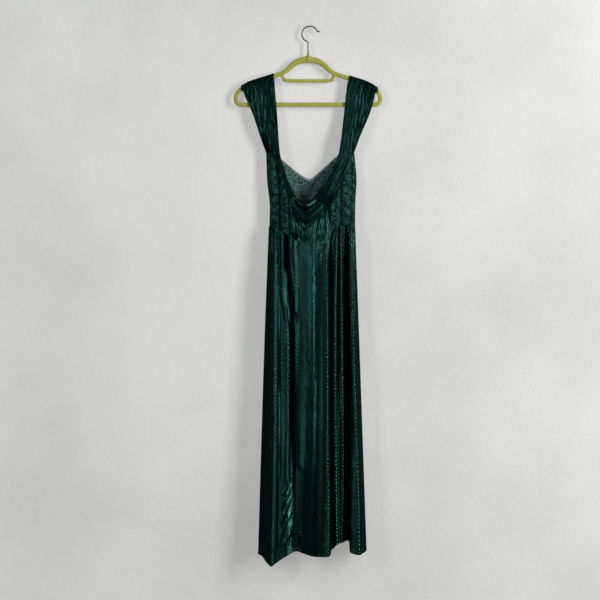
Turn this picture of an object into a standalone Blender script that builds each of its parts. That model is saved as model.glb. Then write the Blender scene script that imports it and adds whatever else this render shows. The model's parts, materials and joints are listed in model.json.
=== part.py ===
"""A long slip gown of deep green ribbed satin and lace, hanging on a flocked clothes hanger.

Metres, +Z up. The origin is the inside top of the hook, where a nail or a rail carries the hanger.
-Y is the front of the gown, and left means -X, as seen from the front.
Cloth is a thin wall lofted through sections. Tables give the sections in millimetres.
"""

import math
from collections import namedtuple

import bmesh
import bpy
from mathutils import Matrix, Vector

MM = 0.001
SEAM_GAP = 0.3 * MM
FACET_ROOM = 0.15
SATIN = 1.5 * MM
LACE = 1.2 * MM
FRONT = -1
BACK = 1
SMOOTH_ANGLE = 50
WELD_DISTANCE = 0.0001 * MM

# Heights of the gown's seams, in millimetres below the origin. BODICE_FOOT_Z is just below all of its waist.
UNDERARM_Z = -379
BODICE_FOOT_Z = -655
HEM_Z = -1576

# The hanger. Its centre line lies a little to the left of the hook's eye.
HANGER_X = -5
ARM_HALF_HEIGHT = 7
ARM_HALF_DEPTH = 3
# The rail grows towards the crown, over this width to each side.
CROWN_SWELL = 1.5
CROWN_HALF_WIDTH = 75
BOTTOM_BAR_Z = -234
INNER_BAR_Z = -162.5
INNER_BAR_RADIUS = 5.5
NECK_TOP_Z = -80
NECK_HEIGHT = 16
NECK_TOP_RADIUS = 3.6
NECK_FOOT_RADIUS = 8
NECK_SQUASH = 0.7
CONE_SEGMENTS = 16
HOOK_WIRE = 1.8
HOOK_RADIUS = 23.7
HOOK_SOCKET_DEPTH = 9
HOOK_FOOT_GAP = 0.5
# The hook's bend, in degrees from +X, turning clockwise from the shank to its free end.
HOOK_BEND_FROM = 228
HOOK_BEND_TO = 48
HOOK_BEND_STEP = 12
STRAP_CLEARANCE = 0.9

STRAP_PLEATS = 11
PLEAT_HEIGHT = 1.3
# The tallest that a pleat stands, as a share of its own width.
PLEAT_SHARE = 0.3
# A strap thickens towards its lower front end, where its folds bunch up, more steeply the nearer it is.
STRAP_END_WALL = 2.4 * MM
STRAP_END_STEEPNESS = 6
LAID_CLEARANCE = 0.6
BINDING_RADIUS = 1.2
BINDING_LEFT = -87
BINDING_RIGHT = 86
# How much further up the roll sits over a slanting edge than over a level one.
NECKLINE_SLANT = 1.65
MIDRIFF_GATHERS = 12
GATHER_HEIGHT = 1.1

# Half of the hanger's centre line, from the crown down the arm and back along the bottom bar.
HangerPoint = namedtuple("HangerPoint", "out z")
HANGER_HALF = (
    HangerPoint(0, -98.5),
    HangerPoint(25, -102),
    HangerPoint(45, -113),
    HangerPoint(60, -127),
    HangerPoint(77, -139),
    HangerPoint(103, -148.5),
    HangerPoint(137, -159.5),
    HangerPoint(172, -171),
    HangerPoint(195, -183.5),
    HangerPoint(211, -199),
    HangerPoint(217, -216),
    HangerPoint(211, -230),
    HangerPoint(197, BOTTOM_BAR_Z),
    HangerPoint(100, BOTTOM_BAR_Z),
)
# The stretch of the arm that a strap can lie on.
ARM_STRETCH = HANGER_HALF[3:11]
INNER_BAR_HALF = (
    HangerPoint(78, -139),
    HangerPoint(76, -152),
    HangerPoint(68, -161),
    HangerPoint(56, INNER_BAR_Z),
)
# The hook's straight shank above its socket, and its upturned free end.
HOOK_SHANK = (
    HangerPoint(HANGER_X, -60),
    HangerPoint(HANGER_X, -50),
    HangerPoint(HANGER_X - 1, -46.5),
)
HOOK_END = (
    HangerPoint(20.5, -10),
    HangerPoint(23, -13.8),
    HangerPoint(26.5, -15),
    HangerPoint(29, -12.5),
)

# Rings of the bodice: the left and right outline, and how deep the front and the back bow out.
BodiceRing = namedtuple("BodiceRing", "z left right front back")
BODICE_RINGS = (
    BodiceRing(UNDERARM_Z, -131, 134, 19, 12),
    BodiceRing(-460, -128, 140, 25, 15),
    BodiceRing(-541, -120, 136.5, 27, 16),
    BodiceRing(BODICE_FOOT_Z, -122.5, 135.5, 26, 18),
)

# A strap's two edges at one level, and how far each hangs in front of, or behind, the hanger's middle.
StrapLevel = namedtuple("StrapLevel", "inner_x inner_z outer_x outer_z inner_depth outer_depth")
# A level where the strap lies on the bodice, which then gives its depth.
LaidLevel = namedtuple("LaidLevel", "inner_x inner_z outer_x outer_z")

LEFT_TOP = (-108, -206)
LEFT_FRONT_HANGING = (
    StrapLevel(-106, -163, -202, -192, 3.8, 3.8),
    StrapLevel(-103, -205, -190, -215, 4.6, 4.6),
    StrapLevel(-99, -248, -176, -248, 6, 5.4),
    StrapLevel(-95, -310, -154, -310, 11, 7),
    StrapLevel(-92, -352, -130, -350, 15, 8.5),
)
LEFT_FRONT_LAID = (
    LaidLevel(-88, -388, -113, -386),
    LaidLevel(-79, -418, -98, -418),
    LaidLevel(-69, -452, -83, -453),
    LaidLevel(-53, -488, -69, -491),
    LaidLevel(-43.5, -510, -59, -517),
)
LEFT_BACK_HANGING = (
    StrapLevel(-106, -163, -202, -192, 3.8, 3.8),
    StrapLevel(-103, -205, -192, -214, 4.6, 4.6),
    StrapLevel(-98, -265, -170, -265, 6.5, 4.5),
    StrapLevel(-95, -325, -150, -325, 8, 3),
    StrapLevel(-91, -393, -131, -378, 7.7, -0.1),
)
RIGHT_TOP = (118, 204)
RIGHT_FRONT_HANGING = (
    StrapLevel(113, -167, 200, -195, 3.8, 3.8),
    StrapLevel(108, -205, 191, -223, 4.6, 4.6),
    StrapLevel(104, -246, 183, -252, 6, 5.4),
    StrapLevel(98, -304, 161, -306, 11, 7),
    StrapLevel(92, -346, 143, -346, 15, 8.5),
)
RIGHT_FRONT_LAID = (
    LaidLevel(85.5, -384, 128, -382),
    LaidLevel(73, -418, 113, -420),
    LaidLevel(52, -451, 98, -460),
    LaidLevel(30, -486, 82, -504),
    LaidLevel(11, -515, 53, -541),
)
RIGHT_BACK_HANGING = (
    StrapLevel(113, -167, 200, -195, 3.8, 3.8),
    StrapLevel(108, -205, 191, -222, 4.6, 4.6),
    StrapLevel(102, -265, 175, -265, 6.5, 4.5),
    StrapLevel(95, -325, 152, -325, 8, 3),
    StrapLevel(89, -384, 134, -375, 8, -0.1),
)

# The cowl's hanging curves, top to bottom: how far along each strap's lower end it starts, its lowest
# point, how far it stands out, and how it hangs: 2 is a round curve, and nearer 1 comes to a point.
CowlFold = namedtuple("CowlFold", "name along low_x low_z stand_out bend")
COWL_FOLDS = (
    CowlFold("top edge", 0, -17, -527, 5, 2),
    CowlFold("upper fold", 0.22, -14, -549, 10, 2),
    CowlFold("hollow", 0.48, -14, -561, 4, 1.9),
    CowlFold("lower fold", 0.74, -13, -579, 13, 1.7),
    CowlFold("bottom edge", 1, -12, -611, 4, 1.3),
)
COWL_END_LIFT = 1.2
COWL_END_GAP = 0.75
# Below 1, a fold reaches its full height nearer the straps.
COWL_FULLNESS = 0.8
COWL_ROWS = 13
COWL_COLUMNS = 15

# Top edge of the back, which holds the V neckline, and top edge of the centre front panel.
EdgePoint = namedtuple("EdgePoint", "x z")
BACK_TOP_EDGE = (
    EdgePoint(-131, -379),
    EdgePoint(-90.5, -394),
    EdgePoint(-86, -400),
    EdgePoint(-42, -437),
    EdgePoint(-14, -456),
    EdgePoint(-2, -460),
    EdgePoint(8, -457.5),
    EdgePoint(41, -428),
    EdgePoint(85, -387),
    EdgePoint(89, -385),
    EdgePoint(134, -376),
)
MIDRIFF_TOP_EDGE = (
    EdgePoint(-53, -541),
    EdgePoint(-10, -565),
    EdgePoint(30, -536),
    EdgePoint(55, -536),
    EdgePoint(63, -527),
)
MIDRIFF_LEFT = -53
MIDRIFF_RIGHT = 63
# Levels of the centre front panel, from its waist seam at 0 to its top edge at 1.
MIDRIFF_LEVELS = (0.0, 0.3, 0.6, 0.85, 1.0)
BACK_ROWS = 9
BACK_COLUMNS = 15
# How late, towards the underarm, a column of the back leaves its place on the neckline.
BACK_FOLLOW = 6
SIDE_PANEL_ROWS = 10
SIDE_PANEL_COLUMNS = 14
# The empire seam in front and behind. It runs lower under the centre front panel.
WAIST_FRONT_EDGE = (
    EdgePoint(-124, -600),
    EdgePoint(-104, -605),
    EdgePoint(-84, -615),
    EdgePoint(MIDRIFF_LEFT, -632),
    EdgePoint(-30, -645),
    EdgePoint(0, -647),
    EdgePoint(30, -644),
    EdgePoint(53, -639),
    EdgePoint(75, -608),
    EdgePoint(105, -597),
    EdgePoint(138, -588),
)
WAIST_BACK_EDGE = (
    EdgePoint(-124, -600),
    EdgePoint(-60, -617),
    EdgePoint(6, -625),
    EdgePoint(80, -611),
    EdgePoint(138, -588),
)
# Seam between a side panel and what lies at its inner side, from the underarm down.
LEFT_PANEL_SEAM = (
    EdgePoint(-109, UNDERARM_Z),
    EdgePoint(-94, -418),
    EdgePoint(-79, -453),
    EdgePoint(-65, -491),
    EdgePoint(-55, -520),
    EdgePoint(MIDRIFF_LEFT, -541),
    EdgePoint(MIDRIFF_LEFT, BODICE_FOOT_Z),
)
RIGHT_PANEL_SEAM = (
    EdgePoint(124, UNDERARM_Z),
    EdgePoint(109, -420),
    EdgePoint(94, -460),
    EdgePoint(78, -504),
    EdgePoint(MIDRIFF_RIGHT, -528),
    EdgePoint(MIDRIFF_RIGHT, BODICE_FOOT_Z),
)
# Soft upright creases in the side panels: where, how wide and how deep.
Crease = namedtuple("Crease", "x half_width depth")
LEFT_PANEL_CREASES = (Crease(-94, 5, 2.2), Crease(-64, 4, 1.8))
RIGHT_PANEL_CREASES = (Crease(93, 5, 2.0),)
# Below 1, a crease keeps more of its depth near the panel's ends.
CREASE_FADE = 0.5

# The skirt's folds run from the waist to the hem. x and how far the cloth stands from the side seams
# are given at the waist, the thigh and the hem, and rise lifts the hem there.
FoldLine = namedtuple("FoldLine", "name x_waist x_thigh x_hem out_waist out_thigh out_hem rise")
THIGH_AT = 0.33
SKIRT_FRONT_FOLDS = (
    FoldLine("left seam", -122.5, -135, -155, 0, 0, 0, -6),
    FoldLine("left turn", -116, -126, -145, 11, 10, 7, -9),
    FoldLine("left ridge", -104, -107, -116, 25, 34, 45, -36),
    FoldLine("left flat", -93, -91, -97, 19, 26, 33, -25),
    FoldLine("second ridge", -84, -71, -72, 26, 34, 37, -8),
    FoldLine("left pleat", -72, -55, -51, 8, 9, 22, 3),
    FoldLine("third ridge", -59, -40, -38, 25, 24, 27, 6),
    FoldLine("centre swell", -12, -9, -20, 29, 33, 33, 1),
    FoldLine("centre flat", 22, 21, 18, 27, 28, 30, -10),
    FoldLine("right swell", 48, 51, 53, 30, 37, 43, -8),
    FoldLine("right pleat", 63, 63.5, 69, 14, 14, 11, 10),
    FoldLine("fourth ridge", 79, 75, 83, 26, 28, 17, 25),
    FoldLine("narrow pleat", 86, 85.5, 93, 16, 17, 9, 28),
    FoldLine("fifth ridge", 93, 95, 103, 24, 21, 6, 31),
    FoldLine("deep pleat", 109, 111, 113, 5, 3, -5, 33),
    FoldLine("flap edge", 115, 118, 121, 12, 14, 24, 3),
    FoldLine("right ridge", 124, 130, 145, 21, 30, 39, -3),
    FoldLine("right turn", 131, 141, 164, 12, 15, 20, 3),
    FoldLine("right seam", 135.5, 147, 170, 0, 0, 0, 6),
)
SKIRT_BACK_FOLDS = (
    FoldLine("left seam", -122.5, -135, -155, 0, 0, 0, -6),
    FoldLine("left roll", -112, -120, -134, 15, 22, 28, 0),
    FoldLine("left pleat", -90, -97, -104, 9, 11, 13, 8),
    FoldLine("left ridge", -66, -70, -80, 19, 24, 31, 6),
    FoldLine("centre pleat", -36, -34, -36, 12, 14, 15, 18),
    FoldLine("centre swell", 2, 6, 8, 20, 26, 32, 20),
    FoldLine("right pleat", 42, 44, 50, 12, 13, 14, 32),
    FoldLine("right ridge", 70, 76, 84, 19, 25, 30, 38),
    FoldLine("last pleat", 98, 104, 116, 9, 11, 12, 38),
    FoldLine("right roll", 124, 133, 150, 14, 21, 26, 14),
    FoldLine("right seam", 135.5, 147, 170, 0, 0, 0, 6),
)
SKIRT_FRONT_ROWS = 14
SKIRT_BACK_ROWS = 10
POINTS_PER_FOLD = 3


def clear_scene():
    for obj in list(bpy.data.objects):
        bpy.data.objects.remove(obj, do_unlink=True)


def make_material(name, colour, roughness, metallic=0.0):
    material = bpy.data.materials.new(name)
    material.use_nodes = True
    shader = material.node_tree.nodes["Principled BSDF"]
    shader.inputs["Base Color"].default_value = (*colour, 1.0)
    shader.inputs["Roughness"].default_value = roughness
    shader.inputs["Metallic"].default_value = metallic
    return material


def smooth_through(places, values, at):
    """Value at a place on a smooth curve through the rows, which never swings past a row's own value."""
    if at <= places[0]:
        return values[0]
    if at >= places[-1]:
        return values[-1]
    steps = [b - a for a, b in zip(places, places[1:])]
    slopes = [(b - a) / step for a, b, step in zip(values, values[1:], steps)]
    tangents = [slopes[0]]
    for before, after in zip(slopes, slopes[1:]):
        flat = before * after <= 0
        tangents.append(0.0 if flat else 2 * before * after / (before + after))
    tangents.append(slopes[-1])
    index = max(i for i in range(len(steps)) if places[i] <= at)
    step = steps[index]
    t = (at - places[index]) / step
    near = (1 + 2 * t) * (1 - t) ** 2 * values[index] + t * (1 - t) ** 2 * step * tangents[index]
    far = t * t * (3 - 2 * t) * values[index + 1] + t * t * (t - 1) * step * tangents[index + 1]
    return near + far


def straight_through(rows, x):
    """Height of a sewn edge at x, on straight stretches between its points."""
    for a, b in zip(rows, rows[1:]):
        if x <= b.x or b is rows[-1]:
            part = (x - a.x) / (b.x - a.x)
            return a.z + (b.z - a.z) * min(max(part, 0.0), 1.0)
    return rows[-1].z


def waist_z(x, facing):
    """Height of the empire seam at x."""
    edge = WAIST_FRONT_EDGE if facing == FRONT else WAIST_BACK_EDGE
    return smooth_through([p.x for p in edge], [p.z for p in edge], x)


def seam_room(x, facing):
    """Half of the seam's gap, as a height: a steep stretch needs more, and so do the facets of a curve."""
    slope = (waist_z(x + 1, facing) - waist_z(x - 1, facing)) / 2
    return (SEAM_GAP / 2 / MM + FACET_ROOM) * math.hypot(1, slope)


def spread(start, end, count):
    return [start + (end - start) * i / (count - 1) for i in range(count)]


def grid_normals(points, facing):
    """Unit normals of a grid of points, turned to the side that facing gives: FRONT is -Y."""
    rows, columns = len(points), len(points[0])
    normals = []
    for r in range(rows):
        line = []
        for c in range(columns):
            across = points[r][min(c + 1, columns - 1)] - points[r][max(c - 1, 0)]
            along = points[min(r + 1, rows - 1)][c] - points[max(r - 1, 0)][c]
            normal = across.cross(along).normalized()
            line.append(normal)
        normals.append(line)
    middle = normals[rows // 2][columns // 2]
    turn = 1 if middle.y * facing > 0 else -1
    return [[turn * normal for normal in line] for line in normals]


def moved(points, normals, distance):
    return [[p + n * distance for p, n in zip(*lines)] for lines in zip(points, normals)]


def closed_wall(name, outer, inner, material, collection):
    """One closed solid between two grids of points of the same size."""
    rows, columns = len(outer), len(outer[0])
    mesh = bmesh.new()
    skins = [[[mesh.verts.new(p) for p in line] for line in grid] for grid in (outer, inner)]
    for r in range(rows - 1):
        for c in range(columns - 1):
            for skin in skins:
                mesh.faces.new((skin[r][c], skin[r][c + 1], skin[r + 1][c + 1], skin[r + 1][c]))
    rim = [(0, c) for c in range(columns)]
    rim += [(r, columns - 1) for r in range(1, rows)]
    rim += [(rows - 1, c) for c in reversed(range(columns - 1))]
    rim += [(r, 0) for r in reversed(range(1, rows - 1))]
    for (r0, c0), (r1, c1) in zip(rim, rim[1:] + rim[:1]):
        mesh.faces.new((skins[0][r0][c0], skins[0][r1][c1], skins[1][r1][c1], skins[1][r0][c0]))
    bmesh.ops.recalc_face_normals(mesh, faces=mesh.faces[:])
    data = bpy.data.meshes.new(name)
    mesh.to_mesh(data)
    mesh.free()
    data.shade_smooth()
    data.set_sharp_from_angle(angle=math.radians(SMOOTH_ANGLE))
    data.materials.append(material)
    obj = bpy.data.objects.new(name, data)
    collection.objects.link(obj)
    return obj


def skirt_panel(name, folds, facing, rows, material, collection):
    """One skirt panel: each ring is a smooth curve through the fold lines at that height."""
    heights = (0.0, THIGH_AT, 1.0)
    order = list(range(len(folds)))
    columns = spread(0, len(folds) - 1, (len(folds) - 1) * POINTS_PER_FOLD + 1)
    grid = []
    for down in spread(0.0, 1.0, rows):
        fold_x = [smooth_through(heights, (f.x_waist, f.x_thigh, f.x_hem), down) for f in folds]
        fold_out = [smooth_through(heights, (f.out_waist, f.out_thigh, f.out_hem), down) for f in folds]
        ring = []
        for at in columns:
            x = smooth_through(order, fold_x, at) * MM
            out = smooth_through(order, fold_out, at) * MM
            hem = (HEM_Z + smooth_through(order, [f.rise for f in folds], at)) * MM
            x_waist = smooth_through(order, [f.x_waist for f in folds], at)
            top = (waist_z(x_waist, facing) - seam_room(x_waist, facing)) * MM
            ring.append(Vector((x, facing * (out + SEAM_GAP / 2), top + (hem - top) * down)))
        grid.append(ring)
    normals = grid_normals(grid, facing)
    for line in normals:
        line[0] = Vector((-1, 0, 0))
        line[-1] = Vector((1, 0, 0))
    outer = moved(grid, normals, SATIN / 2)
    inner = moved(grid, normals, -SATIN / 2)
    return closed_wall(name, outer, inner, material, collection)


def bodice_ring(z):
    """The bodice's outline and depths at a height, read between the table's rings."""
    rings = BODICE_RINGS[::-1]
    places = [ring.z for ring in rings]
    sides = ("left", "right", "front", "back")
    return [smooth_through(places, [getattr(ring, side) for ring in rings], z) for side in sides]


def bodice_point(x, z, facing, lift=0.0):
    """A point on the bodice, in metres: each ring is half an ellipse in front and half behind."""
    left, right, front, back = bodice_ring(z)
    middle, half = (left + right) / 2, (right - left) / 2
    depth = front if facing == FRONT else back
    across = min(max((x - middle) / half, -1.0), 1.0)
    bow = math.sqrt(1 - across * across)
    normal = Vector((across / half, facing * bow / depth, 0)).normalized()
    point = Vector((middle + across * half, facing * bow * depth, z))
    point += Vector((0, facing * SEAM_GAP / 2 / MM, 0))
    return (point + normal * lift) * MM


def even_columns(x_from, x_to, z, count):
    """x places from one seam to another that lie evenly round the bodice's curve."""
    left, right, _, _ = bodice_ring(z)
    middle, half = (left + right) / 2, (right - left) / 2
    angles = [math.acos(min(max((middle - x) / half, -1.0), 1.0)) for x in (x_from, x_to)]
    return [middle - half * math.cos(angle) for angle in spread(*angles, count)]


def crease_depth(creases, x, down):
    """Soft troughs that are deepest halfway down the panel."""
    fade = math.sin(math.pi * min(max(down, 0.0), 1.0)) ** CREASE_FADE
    return sum(c.depth * fade * math.exp(-(((x - c.x) / c.half_width) ** 2)) for c in creases)


def panel_columns(seam, side, z):
    """x places across a side panel at a height, from its left edge to its right edge."""
    left, right, _, _ = bodice_ring(z)
    seam_x = smooth_through([-p.z for p in seam], [p.x for p in seam], -z) + side * SEAM_GAP / 2 / MM
    ends = (left, seam_x) if side < 0 else (seam_x, right)
    return even_columns(*ends, z, SIDE_PANEL_COLUMNS)


def side_panel(name, seam, side, creases, material, collection):
    """A front side panel, from the side seam to its inner seam. side is -1 on the left."""
    waist_xs = panel_columns(seam, side, BODICE_FOOT_Z)
    outer, inner = [], []
    for down in spread(0.0, 1.0, SIDE_PANEL_ROWS):
        outer_line, inner_line = [], []
        for column, waist_x in enumerate(waist_xs):
            foot = waist_z(waist_x, FRONT) + seam_room(waist_x, FRONT)
            z = UNDERARM_Z + (foot - UNDERARM_Z) * down
            x = panel_columns(seam, side, z)[column]
            dip = crease_depth(creases, x, down)
            outer_line.append(bodice_point(x, z, FRONT, -dip))
            inner_line.append(bodice_point(x, z, FRONT, -dip - LACE / MM))
        outer.append(outer_line)
        inner.append(inner_line)
    return closed_wall(name, outer, inner, material, collection)


def midriff_front(material, collection):
    """The centre front panel, its gathers raised on the outside only."""
    half_gap = SEAM_GAP / 2 / MM
    xs = spread(MIDRIFF_LEFT + half_gap, MIDRIFF_RIGHT - half_gap, 2 * MIDRIFF_GATHERS + 1)
    bottoms = [waist_z(x, FRONT) + seam_room(x, FRONT) for x in xs]
    tops = [straight_through(MIDRIFF_TOP_EDGE, x) for x in xs]
    outer, inner = [], []
    for up in MIDRIFF_LEVELS:
        heights = [bottom + (top - bottom) * up for bottom, top in zip(bottoms, tops)]
        rise = GATHER_HEIGHT * (1 - up)
        lifts = [rise * (c % 2) for c in range(len(xs))]
        outer.append([bodice_point(x, z, FRONT, lift) for x, z, lift in zip(xs, heights, lifts)])
        inner.append([bodice_point(x, z, FRONT, -SATIN / MM) for x, z in zip(xs, heights)])
    return closed_wall("midriff_front", outer, inner, material, collection)


def bodice_back(material, collection):
    """The lace back, cut to a V at the neck. Its columns stand on the neckline's own corners."""
    edge_left, edge_right = BACK_TOP_EDGE[0].x, BACK_TOP_EDGE[-1].x
    foot_left, foot_right, _, _ = bodice_ring(BODICE_FOOT_Z)
    xs = even_columns(edge_left, edge_right, UNDERARM_Z, BACK_COLUMNS)
    xs = sorted(set(xs[1:-1]) | {p.x for p in BACK_TOP_EDGE})
    outer, inner = [], []
    for up in spread(0.0, 1.0, BACK_ROWS):
        line = []
        for x in xs:
            across = (x - edge_left) / (edge_right - edge_left)
            waist_x = foot_left + (foot_right - foot_left) * across
            bottom = waist_z(waist_x, BACK) + seam_room(waist_x, BACK)
            z = bottom + (straight_through(BACK_TOP_EDGE, x) - bottom) * up
            left, right, _, _ = bodice_ring(z)
            # A column keeps its own x at the neckline, and follows the outline at the seams and below.
            follow = 1 - up * (1 - abs(2 * across - 1) ** BACK_FOLLOW)
            line.append((x + (left + (right - left) * across - x) * follow, z))
        outer.append([bodice_point(x, z, BACK) for x, z in line])
        inner.append([bodice_point(x, z, BACK, -LACE / MM) for x, z in line])
    return closed_wall("bodice_back", outer, inner, material, collection)


def back_neck_binding(material, collection):
    """A thin roll that sits on the V neckline, between the two straps."""
    edge = [p for p in BACK_TOP_EDGE if BINDING_LEFT < p.x < BINDING_RIGHT]
    rise = (BINDING_RADIUS + SEAM_GAP / MM) * NECKLINE_SLANT
    route = [bodice_point(p.x, p.z + rise, BACK, -LACE / 2 / MM) for p in edge]
    return tube("back_neck_binding", route, BINDING_RADIUS * MM, 2, material, collection)


def tube(name, route, radius, roundness, material, collection, swell=None, cyclic=False):
    """A round wire or rail along a route. swell gives each point's own share of the radius."""
    curve = bpy.data.curves.new(name, "CURVE")
    curve.dimensions = "3D"
    curve.bevel_depth = radius
    curve.bevel_resolution = roundness
    curve.use_fill_caps = not cyclic
    spline = curve.splines.new("POLY")
    spline.points.add(len(route) - 1)
    for i, place in enumerate(route):
        spline.points[i].co = (*place, 1.0)
        spline.points[i].radius = swell[i] if swell else 1.0
    spline.use_cyclic_u = cyclic
    curve.materials.append(material)
    obj = bpy.data.objects.new(name, curve)
    collection.objects.link(obj)
    return obj


def arm_centre_z(x):
    """Height of the hanger arm's centre line, in millimetres, at x."""
    return smooth_through([p.out for p in ARM_STRETCH], [p.z for p in ARM_STRETCH], abs(x - HANGER_X))


def strap_rows(front_hanging, front_laid, back_hanging):
    """Levels of a strap from its back end, over the arm, to its front end: pairs of a kind and its data."""
    over_arm = [("arm", math.radians(angle)) for angle in (180, 135, 90, 45, 0)]
    rows = [("back", level) for level in reversed(back_hanging)]
    rows += over_arm
    rows += [("front", level) for level in front_hanging]
    rows += [("laid", level) for level in front_laid]
    return rows


def strap_point(kind, data, top, across):
    """A point on the strap's inner side. across runs from 0 at the neck to 1 at the shoulder."""
    if kind == "arm":
        x = top[0] + (top[1] - top[0]) * across
        depth = ARM_HALF_DEPTH + STRAP_CLEARANCE
        slope = (arm_centre_z(x + 1) - arm_centre_z(x - 1)) / 2
        height = ARM_HALF_HEIGHT * math.hypot(1, slope) + STRAP_CLEARANCE
        z = arm_centre_z(x) + height * math.sin(data)
        return Vector((x, -depth * math.cos(data), z)) * MM
    x = data.inner_x + (data.outer_x - data.inner_x) * across
    z = data.inner_z + (data.outer_z - data.inner_z) * across
    if kind == "laid":
        return bodice_point(x, z, FRONT, LAID_CLEARANCE)
    facing = FRONT if kind == "front" else BACK
    depth = data.inner_depth + (data.outer_depth - data.inner_depth) * across
    return Vector((x, facing * depth, z)) * MM


def strap(name, top, front_hanging, front_laid, back_hanging, material, collection):
    """A pleated band over the hanger's arm. Its pleats are raised on the outer side."""
    rows = strap_rows(front_hanging, front_laid, back_hanging)
    count = 2 * STRAP_PLEATS + 1
    fractions = spread(0.0, 1.0, count)
    inner = [[strap_point(kind, data, top, across) for across in fractions] for kind, data in rows]
    normals = grid_normals(inner, FRONT)
    turned = []
    for r, line in enumerate(normals):
        kind, data = rows[r]
        turned.append([outward(kind, data, normal) for normal in line])
    outer = []
    last = len(rows) - 1
    for r, line in enumerate(inner):
        width = (line[-1] - line[0]).length
        pleat = min(PLEAT_HEIGHT * MM, width / STRAP_PLEATS * PLEAT_SHARE)
        wall = SATIN + (STRAP_END_WALL - SATIN) * (r / last) ** STRAP_END_STEEPNESS
        lifts = [wall + pleat * (c % 2) for c in range(count)]
        outer.append([p + n * lift for p, n, lift in zip(line, turned[r], lifts)])
    return closed_wall(name, outer, inner, material, collection)


def outward(kind, data, normal):
    """A strap's normal turned away from the arm that the strap wraps."""
    if kind == "arm":
        away = Vector((0, -math.cos(data), math.sin(data)))
    else:
        away = Vector((0, BACK if kind == "back" else FRONT, 0))
    return normal if normal.dot(away) > 0 else -normal


def strap_end_place(front_laid, along):
    """A place on a strap's lower front edge, as x and z. along runs from its inner to its outer corner."""
    end = front_laid[-1]
    x = end.inner_x + (end.outer_x - end.inner_x) * along
    z = end.inner_z + (end.outer_z - end.inner_z) * along
    return x, z


def cowl(material, collection):
    """The swag between the straps: hanging curves, each standing out by its own amount."""
    order = list(range(len(COWL_FOLDS)))
    columns = list(zip(*COWL_FOLDS))[1:]
    inner = []
    for at in spread(0, len(COWL_FOLDS) - 1, COWL_ROWS):
        along, low_x, low_z, stand_out, bend = (smooth_through(order, column, at) for column in columns)
        left_x, left_z = strap_end_place(LEFT_FRONT_LAID, along)
        right_x, right_z = strap_end_place(RIGHT_FRONT_LAID, along)
        line = []
        for across in spread(0.0, 1.0, COWL_COLUMNS):
            hang = 1 - abs(2 * across - 1) ** bend
            x = left_x + (right_x - left_x) * across
            x += (low_x - (left_x + right_x) / 2) * hang
            z = left_z + (right_z - left_z) * across - COWL_END_GAP
            z += (low_z - (left_z + right_z) / 2) * hang
            swell = math.sin(math.pi * across) ** COWL_FULLNESS
            line.append(bodice_point(x, z, FRONT, COWL_END_LIFT + (stand_out - COWL_END_LIFT) * swell))
        inner.append(line)
    outer = moved(inner, grid_normals(inner, FRONT), SATIN)
    return closed_wall("cowl", outer, inner, material, collection)


def right_half_route(points, per_span):
    """A smooth route through a hanger table, as x and z pairs in millimetres."""
    order = list(range(len(points)))
    outs = [p.out for p in points]
    heights = [p.z for p in points]
    places = spread(0, len(points) - 1, (len(points) - 1) * per_span + 1)
    return [(smooth_through(order, outs, at), smooth_through(order, heights, at)) for at in places]


def in_hanger_plane(line):
    """Points in metres for x and z pairs measured from the hanger's middle."""
    return [Vector((x + HANGER_X, 0, z)) * MM for x, z in line]


def to_mesh_object(curve_obj, collection):
    """A mesh copy of a curve, welded, so that it can be cut and joined."""
    bpy.context.view_layer.update()
    graph = bpy.context.evaluated_depsgraph_get()
    data = bpy.data.meshes.new_from_object(curve_obj.evaluated_get(graph))
    mesh = bmesh.new()
    mesh.from_mesh(data)
    bmesh.ops.remove_doubles(mesh, verts=mesh.verts[:], dist=WELD_DISTANCE)
    bmesh.ops.recalc_face_normals(mesh, faces=mesh.faces[:])
    mesh.to_mesh(data)
    mesh.free()
    obj = bpy.data.objects.new(curve_obj.name + "_mesh", data)
    obj.matrix_world = curve_obj.matrix_world.copy()
    collection.objects.link(obj)
    bpy.data.objects.remove(curve_obj, do_unlink=True)
    return obj


def boolean(target, operation, other):
    modifier = target.modifiers.new(other.name, "BOOLEAN")
    modifier.operation = operation
    modifier.object = other
    modifier.solver = "EXACT"
    other.hide_render = True
    other.display_type = "WIRE"


def cone(name, top_radius, foot_radius, height, centre, material, collection):
    mesh = bmesh.new()
    bmesh.ops.create_cone(
        mesh,
        cap_ends=True,
        segments=CONE_SEGMENTS,
        radius1=foot_radius * MM,
        radius2=top_radius * MM,
        depth=height * MM,
    )
    data = bpy.data.meshes.new(name)
    mesh.to_mesh(data)
    mesh.free()
    data.materials.append(material)
    obj = bpy.data.objects.new(name, data)
    obj.location = centre
    collection.objects.link(obj)
    return obj


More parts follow.
